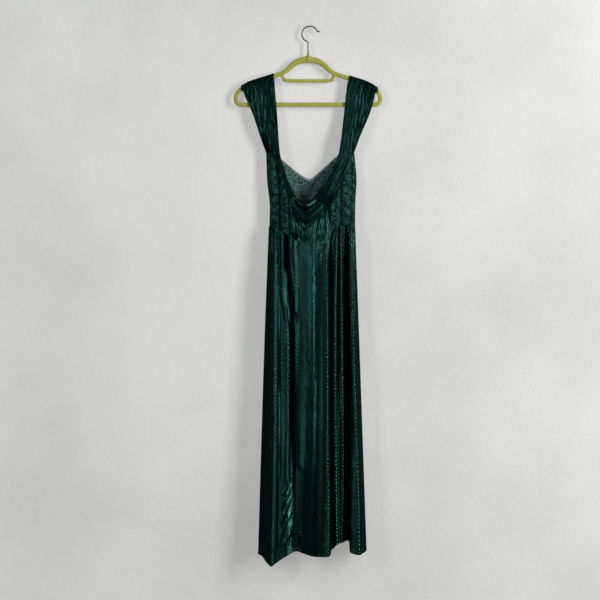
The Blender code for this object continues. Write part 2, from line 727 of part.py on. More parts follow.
def hanger(material, parts, cutters):
    """The moulded body: a closed frame of arms and bottom bar, an inner bar, and a neck with a socket."""
    frame_half = right_half_route(HANGER_HALF, 2)
    loop = frame_half + [(-x, z) for x, z in reversed(frame_half)][:-1]
    swell = []
    for x, z in loop:
        near_crown = max(0.0, 1 - abs(x) / CROWN_HALF_WIDTH) if z > INNER_BAR_Z else 0.0
        swell.append(1 + (CROWN_SWELL - 1) * near_crown)
    route = in_hanger_plane(loop)
    frame = tube("hanger_frame", route, ARM_HALF_HEIGHT * MM, 3, material, cutters, swell, cyclic=True)
    bar_half = right_half_route(INNER_BAR_HALF, 2)
    bar_route = in_hanger_plane([(-x, z) for x, z in bar_half] + bar_half[::-1])
    bar = tube("hanger_inner_bar", bar_route, INNER_BAR_RADIUS * MM, 3, material, cutters)
    body, inner_bar = [to_mesh_object(curve_obj, cutters) for curve_obj in (frame, bar)]
    for piece in (body, inner_bar):
        piece.data.transform(squash_matrix(ARM_HALF_DEPTH / ARM_HALF_HEIGHT))
    middle = Vector((HANGER_X, 0, NECK_TOP_Z - NECK_HEIGHT / 2)) * MM
    neck = cone("hanger_neck", NECK_TOP_RADIUS, NECK_FOOT_RADIUS, NECK_HEIGHT, middle, material, cutters)
    neck.data.transform(squash_matrix(NECK_SQUASH))
    bore = Vector((HANGER_X, 0, NECK_TOP_Z - HOOK_SOCKET_DEPTH / 2 + 1)) * MM
    reach = HOOK_SOCKET_DEPTH + 2
    width = HOOK_WIRE + SEAM_GAP / MM
    socket = cone("hanger_socket", width, width, reach, bore, material, cutters)
    boolean(body, "UNION", inner_bar)
    boolean(body, "UNION", neck)
    boolean(body, "DIFFERENCE", socket)
    body.name = "hanger_body"
    cutters.objects.unlink(body)
    parts.objects.link(body)
    return body


def squash_matrix(depth_share):
    """Flattens a mesh front to back about its own middle."""
    return Matrix.Diagonal((1, depth_share, 1, 1))


def hanger_hook(material, collection):
    """The wire: up the shank, round to the left and over the rail, then down to an upturned end."""
    eye_z = -(HOOK_RADIUS - HOOK_WIRE)
    places = [(HANGER_X, NECK_TOP_Z - HOOK_SOCKET_DEPTH + HOOK_FOOT_GAP)]
    places += HOOK_SHANK
    for angle in range(HOOK_BEND_FROM, HOOK_BEND_TO - 1, -HOOK_BEND_STEP):
        turn = math.radians(angle)
        places.append((HOOK_RADIUS * math.cos(turn), eye_z + HOOK_RADIUS * math.sin(turn)))
    places += HOOK_END
    route = [Vector((x, 0, z)) * MM for x, z in places]
    return tube("hanger_hook", route, HOOK_WIRE * MM, 2, material, collection)


def build():
    clear_scene()
    parts = bpy.data.collections.new("slip_gown_on_hanger")
    cutters = bpy.data.collections.new("cutters")
    bpy.context.scene.collection.children.link(parts)
    bpy.context.scene.collection.children.link(cutters)
    satin = make_material("emerald_satin", (0.008, 0.085, 0.058), 0.38)
    lace = make_material("emerald_lace", (0.012, 0.075, 0.058), 0.7)
    flock = make_material("olive_flock", (0.36, 0.40, 0.08), 0.9)
    wire = make_material("dark_bronze_wire", (0.10, 0.075, 0.06), 0.35, 1.0)

    hanger(flock, parts, cutters)
    hanger_hook(wire, parts)
    strap("strap_left", LEFT_TOP, LEFT_FRONT_HANGING, LEFT_FRONT_LAID, LEFT_BACK_HANGING, satin, parts)
    strap("strap_right", RIGHT_TOP, RIGHT_FRONT_HANGING, RIGHT_FRONT_LAID, RIGHT_BACK_HANGING, satin, parts)
    cowl(satin, parts)
    midriff_front(satin, parts)
    side_panel("side_front_left", LEFT_PANEL_SEAM, -1, LEFT_PANEL_CREASES, lace, parts)
    side_panel("side_front_right", RIGHT_PANEL_SEAM, 1, RIGHT_PANEL_CREASES, lace, parts)
    bodice_back(lace, parts)
    back_neck_binding(lace, parts)
    skirt_panel("skirt_front", SKIRT_FRONT_FOLDS, FRONT, SKIRT_FRONT_ROWS, satin, parts)
    skirt_panel("skirt_back", SKIRT_BACK_FOLDS, BACK, SKIRT_BACK_ROWS, satin, parts)


build()
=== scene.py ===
"""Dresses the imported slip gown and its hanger, for one studio picture and for views from all round.

Tables hold millimetres, as the solids' own tables do, and the objects are made in metres, +Z up.
-Y is the front of the gown, and left means -X, as seen from the front.
"""

import json
import math
from collections import namedtuple

import bmesh
import bpy
import numpy as np
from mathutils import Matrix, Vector

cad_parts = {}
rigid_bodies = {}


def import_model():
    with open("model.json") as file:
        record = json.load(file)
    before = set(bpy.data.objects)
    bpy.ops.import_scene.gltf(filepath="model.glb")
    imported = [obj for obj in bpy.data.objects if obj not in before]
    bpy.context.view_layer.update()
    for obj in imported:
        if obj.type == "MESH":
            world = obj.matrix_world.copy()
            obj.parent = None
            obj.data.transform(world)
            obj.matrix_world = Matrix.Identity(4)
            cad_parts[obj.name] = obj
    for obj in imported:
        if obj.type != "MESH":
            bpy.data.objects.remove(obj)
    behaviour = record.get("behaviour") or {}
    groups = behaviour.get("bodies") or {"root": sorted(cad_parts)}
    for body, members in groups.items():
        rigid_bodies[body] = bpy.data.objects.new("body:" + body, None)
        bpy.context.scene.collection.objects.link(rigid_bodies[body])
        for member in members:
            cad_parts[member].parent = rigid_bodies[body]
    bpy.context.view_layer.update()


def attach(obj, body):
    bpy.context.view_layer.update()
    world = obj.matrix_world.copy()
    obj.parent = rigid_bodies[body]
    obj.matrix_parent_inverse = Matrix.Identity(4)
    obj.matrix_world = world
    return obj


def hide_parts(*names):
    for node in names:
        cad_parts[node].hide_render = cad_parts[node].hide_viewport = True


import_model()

MM = 0.001
FRONT = -1
BACK = 1
SEAM_GAP = 0.3
SATIN = 1.0
LACE = 0.8

UNDERARM_Z = -379
BODICE_FOOT_Z = -655
HEM_Z = -1576

HANGER_X = -5
ARM_HALF_HEIGHT = 7
ARM_HALF_DEPTH = 3
CROWN_SWELL = 1.5
CROWN_HALF_WIDTH = 75
BOTTOM_BAR_Z = -234
INNER_BAR_Z = -162.5
INNER_BAR_RADIUS = 5.5
NECK_TOP_Z = -80
NECK_HEIGHT = 16
NECK_TOP_RADIUS = 3.6
NECK_FOOT_RADIUS = 8
NECK_SQUASH = 0.7
HOOK_WIRE = 1.8
HOOK_RADIUS = 23.7
STRAP_CLEARANCE = 0.9
LAID_CLEARANCE = 0.6
ARM_STEP = 15
BINDING_RADIUS = 1.2
NECKLINE_SLANT = 1.65


def table(kind, *lines):
    """The lines of a table as named tuples of one kind."""
    return tuple(kind(*line) for line in lines)


Pair = namedtuple("Pair", "x z")
HANGER_HALF = table(
    Pair,
    (0, -98.5), (25, -102), (45, -113), (60, -127), (77, -139), (103, -148.5), (137, -159.5),
    (172, -171), (195, -183.5), (211, -199), (217, -216), (211, -230), (197, BOTTOM_BAR_Z),
    (100, BOTTOM_BAR_Z),
)
ARM_STRETCH = HANGER_HALF[3:11]
INNER_BAR_HALF = table(Pair, (78, -139), (76, -152), (68, -161), (56, INNER_BAR_Z))

BodiceRing = namedtuple("BodiceRing", "z left right front back")
BODICE_RINGS = table(
    BodiceRing,
    (BODICE_FOOT_Z, -122.5, 135.5, 26, 18),
    (-541, -120, 136.5, 27, 16),
    (-460, -128, 140, 25, 15),
    (UNDERARM_Z, -131, 134, 19, 12),
)

# A strap's two edges at one level, and how far each hangs in front of, or behind, the hanger's middle.
StrapLevel = namedtuple("StrapLevel", "inner_x inner_z outer_x outer_z inner_depth outer_depth")
LaidLevel = namedtuple("LaidLevel", "inner_x inner_z outer_x outer_z")
# Where a strap lies on the hanger's arm, its stretches, its pleats, and the part that hangs smooth.
StrapCut = namedtuple(
    "StrapCut", "top front_hanging front_laid back_hanging pleats seed calm_across calm_past"
)
LEFT_FRONT_HANGING = table(
    StrapLevel,
    (-106, -163, -202, -192, 3.8, 3.8),
    (-103, -205, -190, -215, 4.6, 4.6),
    (-99, -248, -176, -248, 6, 5.4),
    (-95, -310, -154, -310, 11, 7),
    (-92, -352, -130, -350, 15, 8.5),
)
LEFT_FRONT_LAID = table(
    LaidLevel,
    (-88, -388, -113, -386),
    (-79, -418, -98, -418),
    (-69, -452, -83, -453),
    (-53, -488, -69, -491),
    (-43.5, -510, -59, -517),
)
LEFT_BACK_HANGING = table(
    StrapLevel,
    (-106, -163, -202, -192, 3.8, 3.8),
    (-103, -205, -192, -214, 4.6, 4.6),
    (-98, -265, -170, -265, 6.5, 4.5),
    (-95, -325, -150, -325, 8, 3),
    (-91, -393, -131, -378, 7.7, -0.1),
)
LEFT_STRAP = StrapCut(
    (-108, -206), LEFT_FRONT_HANGING, LEFT_FRONT_LAID, LEFT_BACK_HANGING, 17, 3, 0.3, (70, 330)
)
RIGHT_FRONT_HANGING = table(
    StrapLevel,
    (113, -167, 200, -195, 3.8, 3.8),
    (108, -205, 191, -223, 4.6, 4.6),
    (104, -246, 183, -252, 6, 5.4),
    (98, -304, 161, -306, 11, 7),
    (92, -346, 143, -346, 15, 8.5),
)
RIGHT_FRONT_LAID = table(
    LaidLevel,
    (85.5, -384, 128, -382),
    (73, -418, 113, -420),
    (52, -451, 98, -460),
    (30, -486, 82, -504),
    (11, -515, 53, -541),
)
RIGHT_BACK_HANGING = table(
    StrapLevel,
    (113, -167, 200, -195, 3.8, 3.8),
    (108, -205, 191, -222, 4.6, 4.6),
    (102, -265, 175, -265, 6.5, 4.5),
    (95, -325, 152, -325, 8, 3),
    (89, -384, 134, -375, 8, -0.1),
)
RIGHT_STRAP = StrapCut(
    (118, 204), RIGHT_FRONT_HANGING, RIGHT_FRONT_LAID, RIGHT_BACK_HANGING, 20, 8, 0.1, (120, 230)
)

CowlFold = namedtuple("CowlFold", "along low_x low_z stand_out bend")
COWL_FOLDS = table(
    CowlFold,
    (0, -20, -524, 4, 2.3),
    (0.06, -19, -529, 9, 2.3),
    (0.12, -18, -535, 13.5, 2.2),
    (0.18, -17, -541, 12.5, 2.1),
    (0.25, -16, -544, 2, 2.0),
    (0.36, -15, -551, -6, 1.9),
    (0.44, -14, -559, -4, 1.75),
    (0.52, -14, -565, 9, 1.6),
    (0.62, -14, -573, 11.5, 1.45),
    (0.72, -14, -583, 13, 1.3),
    (0.78, -14, -588, 6, 1.25),
    (0.86, -14, -597, 2.5, 1.2),
    (0.94, -14, -606, 4.5, 1.12),
    (1, -15, -613, 2.5, 1.1),
)
COWL_PLEATS = 9
COWL_PLEAT = 0.9
COWL_END_LIFT = 1.2
COWL_END_GAP = 0.75

BACK_TOP_EDGE = table(
    Pair,
    (-131, -379), (-90.5, -394), (-86, -400), (-42, -437), (-14, -456), (-2, -460), (8, -457.5),
    (41, -428), (85, -387), (89, -385), (134, -376),
)
MIDRIFF_TOP_EDGE = table(Pair, (-53, -541), (-10, -565), (30, -536), (55, -536), (63, -527))
MIDRIFF_LEFT = -53
MIDRIFF_RIGHT = 63
# The small gathers are tallest in a cluster.
CLUSTER_X = -32
CLUSTER_HALF_WIDTH = 22
WAIST_FRONT_EDGE = table(
    Pair,
    (-124, -600), (-104, -605), (-84, -615), (MIDRIFF_LEFT, -632), (-30, -645), (0, -647),
    (30, -644), (53, -639), (75, -608), (105, -597), (138, -588),
)
WAIST_BACK_EDGE = table(Pair, (-124, -600), (-60, -617), (6, -625), (80, -611), (138, -588))
LEFT_PANEL_SEAM = table(
    Pair,
    (-109, UNDERARM_Z), (-94, -418), (-79, -453), (-65, -491), (-55, -520), (MIDRIFF_LEFT, -541),
    (MIDRIFF_LEFT, BODICE_FOOT_Z),
)
RIGHT_PANEL_SEAM = table(
    Pair,
    (124, UNDERARM_Z), (109, -420), (94, -460), (78, -504), (MIDRIFF_RIGHT, -528),
    (MIDRIFF_RIGHT, BODICE_FOOT_Z),
)

FoldLine = namedtuple("FoldLine", "x_waist x_thigh x_hem out_waist out_thigh out_hem rise")
THIGH_AT = 0.33
SKIRT_FRONT_FOLDS = table(
    FoldLine,
    (-122.5, -135, -155, 0, 0, 0, -6),
    (-116, -126, -145, 11, 10, 7, -9),
    (-104, -107, -116, 25, 34, 45, -36),
    (-93, -91, -97, 19, 26, 33, -25),
    (-84, -71, -72, 26, 34, 37, -8),
    (-72, -55, -51, 8, 9, 22, 3),
    (-59, -40, -38, 25, 24, 27, 6),
    (-12, -9, -20, 29, 33, 33, 1),
    (22, 21, 18, 27, 28, 30, -10),
    (48, 51, 53, 30, 37, 43, -8),
    (63, 63.5, 69, 14, 14, 11, 10),
    (79, 75, 83, 26, 28, 17, 25),
    (86, 85.5, 93, 16, 17, 9, 28),
    (93, 95, 103, 24, 21, 6, 31),
    (109, 111, 113, 5, 3, -5, 33),
    (115, 118, 121, 12, 14, 24, 3),
    (124, 130, 145, 21, 30, 39, -3),
    (131, 141, 164, 12, 15, 20, 3),
    (135.5, 147, 170, 0, 0, 0, 6),
)
SKIRT_BACK_FOLDS = table(
    FoldLine,
    (-122.5, -135, -155, 0, 0, 0, -6),
    (-112, -120, -134, 15, 22, 28, 0),
    (-90, -97, -104, 9, 11, 13, 8),
    (-66, -70, -80, 19, 24, 31, 6),
    (-36, -34, -36, 12, 14, 15, 18),
    (2, 6, 8, 20, 26, 32, 20),
    (42, 44, 50, 12, 13, 14, 32),
    (70, 76, 84, 19, 25, 30, 38),
    (98, 104, 116, 9, 11, 12, 38),
    (124, 133, 150, 14, 21, 26, 14),
    (135.5, 147, 170, 0, 0, 0, 6),
)

# A crease of the surface: its half width, how far it stands out or in, and its line from the top down.
Crease = namedtuple("Crease", "half_width lift line")
CREASE_END = 30
BROAD = 9
HEM_PAST = -1680
SKIRT_FRONT_CREASES = table(
    Crease,
    (3.8, 3.4, ((-104, -585), (-104.5, -700), (-106.5, -790), (-106.5, -1120), (-116, HEM_PAST))),
    (2.4, -2.4, ((-98.5, -600), (-99, -760), (-101, -1360), (-108, HEM_PAST))),
    (2.6, -2, ((-111, -600), (-112, -790), (-115, -1360), (-124, HEM_PAST))),
    (6.5, 2.6, ((-95, -780), (-91, -1000), (-91, -1360), (-96, -1560))),
    (1.8, 2, ((-92, -1080), (-92.5, -1360), (-98, HEM_PAST))),
    (4.3, 3.4, ((-83.7, -600), (-83.7, -790), (-64, -910), (-67, -960), (-67, -1180), (-70, -1380))),
    (4.5, -5, ((-72, -620), (-72, -790), (-60, -910), (-53.5, -955), (-53, -1260))),
    (3.4, 3, ((-58.5, -620), (-58.5, -850), (-52.5, -900))),
    (3.2, 2.2, ((-42, -700), (-41.5, -870))),
    (3, -1.6, ((-35, -680), (-34, -900))),
    (11, 2.5, ((-7, -690), (-11, -820), (-18, -970), (-25, -1120), (-29, -1330))),
    (4.6, 3, ((45, -640), (50.4, -820), (52.8, -1314), (56, -1420), (54, -1500), (52, HEM_PAST))),
    (2.4, -1.8, ((43, -800), (45, -1314), (46, -1500))),
    (3.2, -4.5, ((62, -640), (64, -820), (66, -1300), (68, HEM_PAST))),
    (4, 3.2, ((80, -600), (75.3, -880), (75.3, -1060), (76.5, -1315), (84, HEM_PAST))),
    (2.4, -4, ((86, -600), (86, -1100), (88, -1400), (93, HEM_PAST))),
    (3.6, 3, ((92, -590), (95, -900), (98, -1180))),
    (5, -5, ((111, -600), (111.5, -1100), (113, HEM_PAST))),
    (4.6, 3.2, ((123, -585), (123.5, -760), (129, -985), (136.5, -1165), (142.5, -1330), (150, HEM_PAST))),
    (2.4, -1.8, ((130, -600), (131, -760), (137, -985), (145, -1165), (152, -1360), (159, HEM_PAST))),
)
SKIRT_BACK_CREASES = table(
    Crease,
    (3.4, 2.6, ((-112, -580), (-120, -920), (-134, HEM_PAST))),
    (2.8, -2.6, ((-104, -590), (-110, -920), (-122, HEM_PAST))),
    (3, 2.4, ((-86, -600), (-90, -800), (-96, -1100))),
    (3.4, 2.8, ((-66, -600), (-70, -920), (-80, HEM_PAST))),
    (2.6, -2.6, ((-58, -600), (-60, -920), (-68, -1500))),
    (3, 2.4, ((-50, -600), (-50, -850), (-56, -1240))),
    (5, -3.4, ((-36, -640), (-34, -920), (-37, HEM_PAST))),
    (3, 2.4, ((-22, -600), (-16, -900), (-18, -1350))),
    (7, 2.4, ((4, -640), (7, -920), (14, -1200), (6, HEM_PAST))),
    (2.6, -2.2, ((20, -620), (22, -1000), (28, -1450))),
    (3.2, 2.6, ((30, -600), (33, -920), (38, -1500))),
    (4.2, -3.4, ((43, -640), (45, -920), (52, HEM_PAST))),
    (3.2, 2.4, ((56, -600), (60, -920), (66, -1300))),
    (3.4, 2.8, ((71, -600), (77, -920), (86, HEM_PAST))),
    (2.6, -2.8, ((80, -600), (86, -920), (96, HEM_PAST))),
    (3, 2.4, ((92, -600), (96, -920), (103, -1380))),
    (4, -3.4, ((99, -620), (105, -920), (118, HEM_PAST))),
    (3.6, 2.6, ((124, -580), (134, -920), (151, HEM_PAST))),
)
# Slanting crumples near the hem at the left of the front: start and end in x and z, half width, lift.
Crumple = namedtuple("Crumple", "x0 z0 x1 z1 half_width lift")
HEM_CRUMPLES = table(
    Crumple,
    (-60, -1338, -71, -1376, 3, 2.2),
    (-57, -1348, -84, -1412, 2.8, 2.4),
    (-52, -1352, -80, -1424, 2.6, -2.2),
    (-59, -1370, -88, -1446, 2.8, 2.4),
    (-55, -1388, -82, -1464, 2.6, -2.2),
    (-57, -1402, -85, -1482, 2.8, 2.4),
    (-54, -1424, -86, -1508, 2.6, -2.2),
    (-54, -1440, -87, -1524, 2.8, 2.6),
    (-56, -1462, -84, -1546, 2.6, -2.2),
    (-50, -1472, -76, -1560, 2.8, 2.4),
    (-44, -1486, -64, -1562, 2.6, -2.0),
    (-43, -1496, -56, -1560, 2.6, 2.2),
    (-24, -1506, -37, -1560, 2.8, 1.8),
    (44, -1420, 52, -1486, 2.8, 2.0),
    (36, -1440, 46, -1520, 2.6, -1.6),
    (30, -1470, 42, -1540, 2.8, 1.6),
)
LEFT_PANEL_CREASES = table(
    Crease,
    (3.6, -4, ((-99, -400), (-97, -430), (-92, -520), (-90, -660))),
    (3, -3, ((-70, -480), (-64, -520), (-60, -680))),
    (6, 1.5, ((-80, -430), (-78, -660))),
    (5, 1, ((-112, -390), (-110, -640))),
)
RIGHT_PANEL_CREASES = table(
    Crease,
    (3.6, -3.6, ((104, -420), (96, -450), (93, -530), (92, -660))),
    (6, 1.4, ((112, -400), (108, -640))),
    (4, 1.2, ((82, -480), (79, -640))),
    (2.6, -2, ((126, -400), (124, -640))),
)
# The slant of the ribs turns at turns, in millimetres across. One band of the panel has hardly any ribs,
# and another, towards the hem, gets painted shade and weaker ribs.
SkirtPanel = namedtuple(
    "SkirtPanel", "folds facing columns creases crumples turns plain_band shaded_band seed"
)
FRONT_TURNS = (-49, -33, 8)
SKIRT_FRONT = SkirtPanel(
    SKIRT_FRONT_FOLDS, FRONT, 290, SKIRT_FRONT_CREASES, HEM_CRUMPLES, FRONT_TURNS, (-99, -81), (-50, 42), 21
)
SKIRT_BACK = SkirtPanel(
    SKIRT_BACK_FOLDS, BACK, 250, SKIRT_BACK_CREASES, (), (4,), (62, 80), (-24, 20), 41
)
PLAIN_HIGH, PLAIN_LOW = 800, 1400
SHADED_FROM = 1290
FAR = 1e4

WAIST_PUCKER = 0.6
WAIST_PUCKER_DEPTH = 55
GATHER_EASE = 90
GATHER_START = 0.75
HEM_TURNED = 9
HEM_EXTRA = 0.35
# How far the top of the skirt reaches up behind the bodice's edge, as a sewn one does.
TUCKED_IN = 1.2

RIB_ACROSS = 6.2
RIB_DOWN = 11.0
# How deep the ribs lie where the cloth hangs flat, as a part of a full rib, how much deeper near the waist,
# and how far down that reaches.
FLAT_RIBBING = 0.28
HIGH_RIBBING = 0.30
HIGH_REACH = 260
TURN_SOFT = 4
# The two turns left of CHEVRON_RIGHT draw together at CHEVRON_X, from the high level to the low one.
CHEVRON_X = -41
CHEVRON_RIGHT = -30
CHEVRON_HIGH = -720
CHEVRON_LOW = -1160


def smooth(places, values, at):
    """Values at places on curves through table rows, which never swing past a row's own value."""
    places = np.asarray(places, float)
    values = np.asarray(values, float)
    flat = values.ndim == 1
    values = np.atleast_2d(values)
    shape = np.shape(at)
    at = np.clip(np.ravel(at), places[0], places[-1])
    steps = np.diff(places)
    slopes = np.diff(values, axis=1) / steps
    before, after = slopes[:, :-1], slopes[:, 1:]
    same = before * after > 0
    middle = np.where(same, 2 * before * after / np.where(same, before + after, 1), 0)
    tangents = np.concatenate([slopes[:, :1], middle, slopes[:, -1:]], axis=1)
    i = np.clip(np.searchsorted(places, at, "right") - 1, 0, len(steps) - 1)
    t = (at - places[i]) / steps[i]
    near = (1 + 2 * t) * (1 - t) ** 2 * values[:, i] + t * (1 - t) ** 2 * steps[i] * tangents[:, i]
    far = t * t * (3 - 2 * t) * values[:, i + 1] + t * t * (t - 1) * steps[i] * tangents[:, i + 1]
    found = near + far
    return found[0].reshape(shape) if flat else found


def through(edge, x):
    """Height of a smooth edge at x."""
    return smooth([p.x for p in edge], [p.z for p in edge], x)


def straight(edge, x):
    return np.interp(x, [p.x for p in edge], [p.z for p in edge])


def between(start, end, part):
    return start + (end - start) * part


def waves(x, z, count, long_x, long_z, seed):
    """A smooth uneven field between about -1 and 1, made of slanting waves."""
    draw = np.random.default_rng(seed)
    total = np.zeros(np.broadcast(x, z).shape)
    for _ in range(count):
        across = draw.uniform(0.6, 1.7) / long_x * draw.choice((-1, 1))
        down = draw.uniform(0.4, 1.6) / long_z
        total += np.cos(2 * math.pi * (x * across + z * down + draw.random()))
    return total / math.sqrt(count)


def bump_between(at, low, high, soft):
    """1 between two values and 0 outside, with soft ends."""
    rise, fall = (np.clip(past / soft, 0, 1) for past in (at - low, high - at))
    return rise * rise * (3 - 2 * rise) * (fall * fall * (3 - 2 * fall))


def bell(off, half_width):
    """1 in the middle and less further off."""
    return np.exp(-((off / half_width) ** 2))


def run_along(across, down):
    """How far each point of a line lies along it."""
    return np.concatenate([[0], np.cumsum(np.hypot(np.diff(across), np.diff(down)))])


def crease_lift(creases, x, z):
    lift = np.zeros(np.broadcast(x, z).shape)
    for c in creases:
        depths = [-point[1] for point in c.line]
        line = smooth(depths, [point[0] for point in c.line], -z)
        shown = bump_between(-z, depths[0], depths[-1], CREASE_END)
        lift += c.lift * shown * bell(x - line, c.half_width)
    return lift


def crumple_lift(crumples, x, z):
    lift = np.zeros(np.shape(x))
    for c in crumples:
        along = np.array([c.x1 - c.x0, c.z1 - c.z0], float)
        long = np.hypot(*along)
        ux, uz = along / long
        at = (x - c.x0) * ux + (z - c.z0) * uz
        off = -(x - c.x0) * uz + (z - c.z0) * ux
        lift += c.lift * bump_between(at, 0, long, long * 0.35) * bell(off, c.half_width)
    return lift


def unit_normals(grid):
    normal = np.cross(np.gradient(grid, axis=1), np.gradient(grid, axis=0))
    return normal / np.maximum(np.linalg.norm(normal, axis=-1, keepdims=True), 1e-12)


def normals_of(grid, facing):
    """Unit normals of a grid of points, turned to the side that facing gives."""
    normal = unit_normals(grid)
    middle = normal[normal.shape[0] // 2, normal.shape[1] // 2]
    return normal if middle[1] * facing > 0 else -normal


def bodice_outline(z):
    """How far the bodice reaches to the left, the right, the front and the back at height z."""
    places = [ring.z for ring in BODICE_RINGS]
    return [smooth(places, reach, z) for reach in list(zip(*BODICE_RINGS))[1:]]


def bodice(x, z, facing, lift=0.0):
    """Points on the bodice in millimetres: each ring is half an ellipse in front and half behind."""
    x, z = np.broadcast_arrays(np.asarray(x, float), np.asarray(z, float))
    left, right, front, back = bodice_outline(z)
    middle, half = (left + right) / 2, (right - left) / 2
    depth = front if facing == FRONT else back
    across = np.clip((x - middle) / half, -1, 1)
    bow = np.sqrt(1 - across * across)
    normal = np.stack([across / half, facing * bow / depth, np.zeros_like(across)], -1)
    normal /= np.linalg.norm(normal, axis=-1, keepdims=True)
    points = np.stack([middle + across * half, facing * (bow * depth + SEAM_GAP / 2), z], -1)
    return points + normal * np.asarray(lift, float)[..., None]


def run(points, axis):
    """How far each point lies along its row or its column of points."""
    steps = np.linalg.norm(np.diff(points, axis=axis), axis=-1)
    return np.insert(np.cumsum(steps, axis), 0, 0, axis)


def from_middle(u):
    middle = u.shape[1] // 2
    return u - u[:, middle : middle + 1]


def lengths(grid):
    """How far each point lies along the cloth: across its row from the middle, and down its column."""
    return from_middle(run(grid, 1)), run(grid, 0)


def cloth(name, outer, inner, material, uv=None, fields=None):
    """One closed piece of cloth between two grids of points in millimetres, with its own coordinates."""
    rows, columns = outer.shape[:2]
    count = rows * columns
    index = np.arange(count).reshape(rows, columns)
    faces = np.stack([index[:-1, :-1], index[:-1, 1:], index[1:, 1:], index[1:, :-1]], -1).reshape(-1, 4)
    rim = np.concatenate([index[0], index[1:, -1], index[-1, -2::-1], index[-2:0:-1, 0]])
    after = np.roll(rim, -1)
    sides = np.stack([after, rim, rim + count, after + count], -1)
    every = np.concatenate([faces, faces[:, ::-1] + count, sides])
    points = np.concatenate([outer.reshape(-1, 3), inner.reshape(-1, 3)]) * MM
    r, c = rows // 2, columns // 2
    turn = np.cross(outer[r, c + 1] - outer[r, c], outer[r + 1, c] - outer[r, c])
    if np.dot(turn, outer[r, c] - inner[r, c]) < 0:
        every = every[:, ::-1]
    mesh = bpy.data.meshes.new(name)
    mesh.from_pydata(points.tolist(), [], every.tolist())
    u, v = uv if uv else lengths(outer)
    pair = np.stack([np.tile(u.ravel(), 2), np.tile(v.ravel(), 2)], -1) * MM
    corner = np.empty(len(mesh.loops), np.int32)
    mesh.loops.foreach_get("vertex_index", corner)
    mesh.uv_layers.new(name="cloth").data.foreach_set("uv", pair[corner].ravel())
    for key, field in (fields or {}).items():
        layer = mesh.attributes.new(key, "FLOAT", "POINT")
        layer.data.foreach_set("value", np.tile(field.ravel(), 2))
    mesh.shade_smooth()
    mesh.set_sharp_from_angle(angle=math.radians(70))
    return finished(name, mesh, material)


def linked(name, data):
    """A new object in the scene."""
    thing = bpy.data.objects.new(name, data)
    bpy.context.scene.collection.objects.link(thing)
    return thing


def finished(name, mesh, material):
    mesh.materials.append(material)
    return linked(name, mesh)


def bodice_cloth(name, x, z, facing, lift, inside, material, fields=None):
    """Cloth on the bodice, between two distances from its surface."""
    outer, inner = (bodice(x, z, facing, height) for height in (lift, inside))
    return cloth(name, outer, inner, material, (x + 0 * z, z), fields)


def skirt_grid(panel):
    """The panel's middle surface, and how far each point is below the waist and above the hem."""
    x_waist, x_thigh, x_hem, out_waist, out_thigh, out_hem, rise = zip(*panel.folds)
    order = np.arange(len(rise))
    probe = np.linspace(0, len(rise) - 1, 2000)
    along = run_along(*smooth(order, (x_thigh, out_thigh), probe))
    columns = np.interp(np.linspace(0, along[-1], panel.columns), along, probe)
    high, middle = np.linspace(0, 0.07, 17)[:-1], np.linspace(0.07, 0.75, 68)[:-1]
    low = np.linspace(0.75, 0.9895, 70)
    down = np.concatenate([high, middle, low, (0.9905, 0.9915, 0.9925, 0.996, 1.0)])
    levels = ((x_waist, x_thigh, x_hem), (out_waist, out_thigh, out_hem))
    lines = (smooth((0.0, THIGH_AT, 1.0), np.transpose(level), down).T for level in levels)
    x, out = (smooth(order, line, columns) for line in lines)
    rise, x_waist = smooth(order, (rise, x_waist), columns)
    top = through(WAIST_FRONT_EDGE if panel.facing == FRONT else WAIST_BACK_EDGE, x_waist) + TUCKED_IN
    hem = HEM_Z + rise
    z = between(top, hem, down[:, None])
    return np.stack([x, panel.facing * (out + SEAM_GAP / 2), z], -1), top - z, z - hem


def rib_phase(x, z, u, v, turns):
    """Ribs slant one way, and the other way past each turn. The first turns meet below the chevron."""
    meet = np.clip((z - CHEVRON_HIGH) / (CHEVRON_LOW - CHEVRON_HIGH), 0, 1)
    slant = np.ones_like(x)
    for turn in turns:
        shift = (CHEVRON_X - turn) * meet if turn < CHEVRON_RIGHT else 0
        slant = slant * np.clip((turn + shift - x) / TURN_SOFT, -1, 1)
    across = np.cumsum(slant * np.diff(u, axis=1, prepend=u[:, :1]), axis=1)
    return from_middle(across) / RIB_ACROSS + v / RIB_DOWN


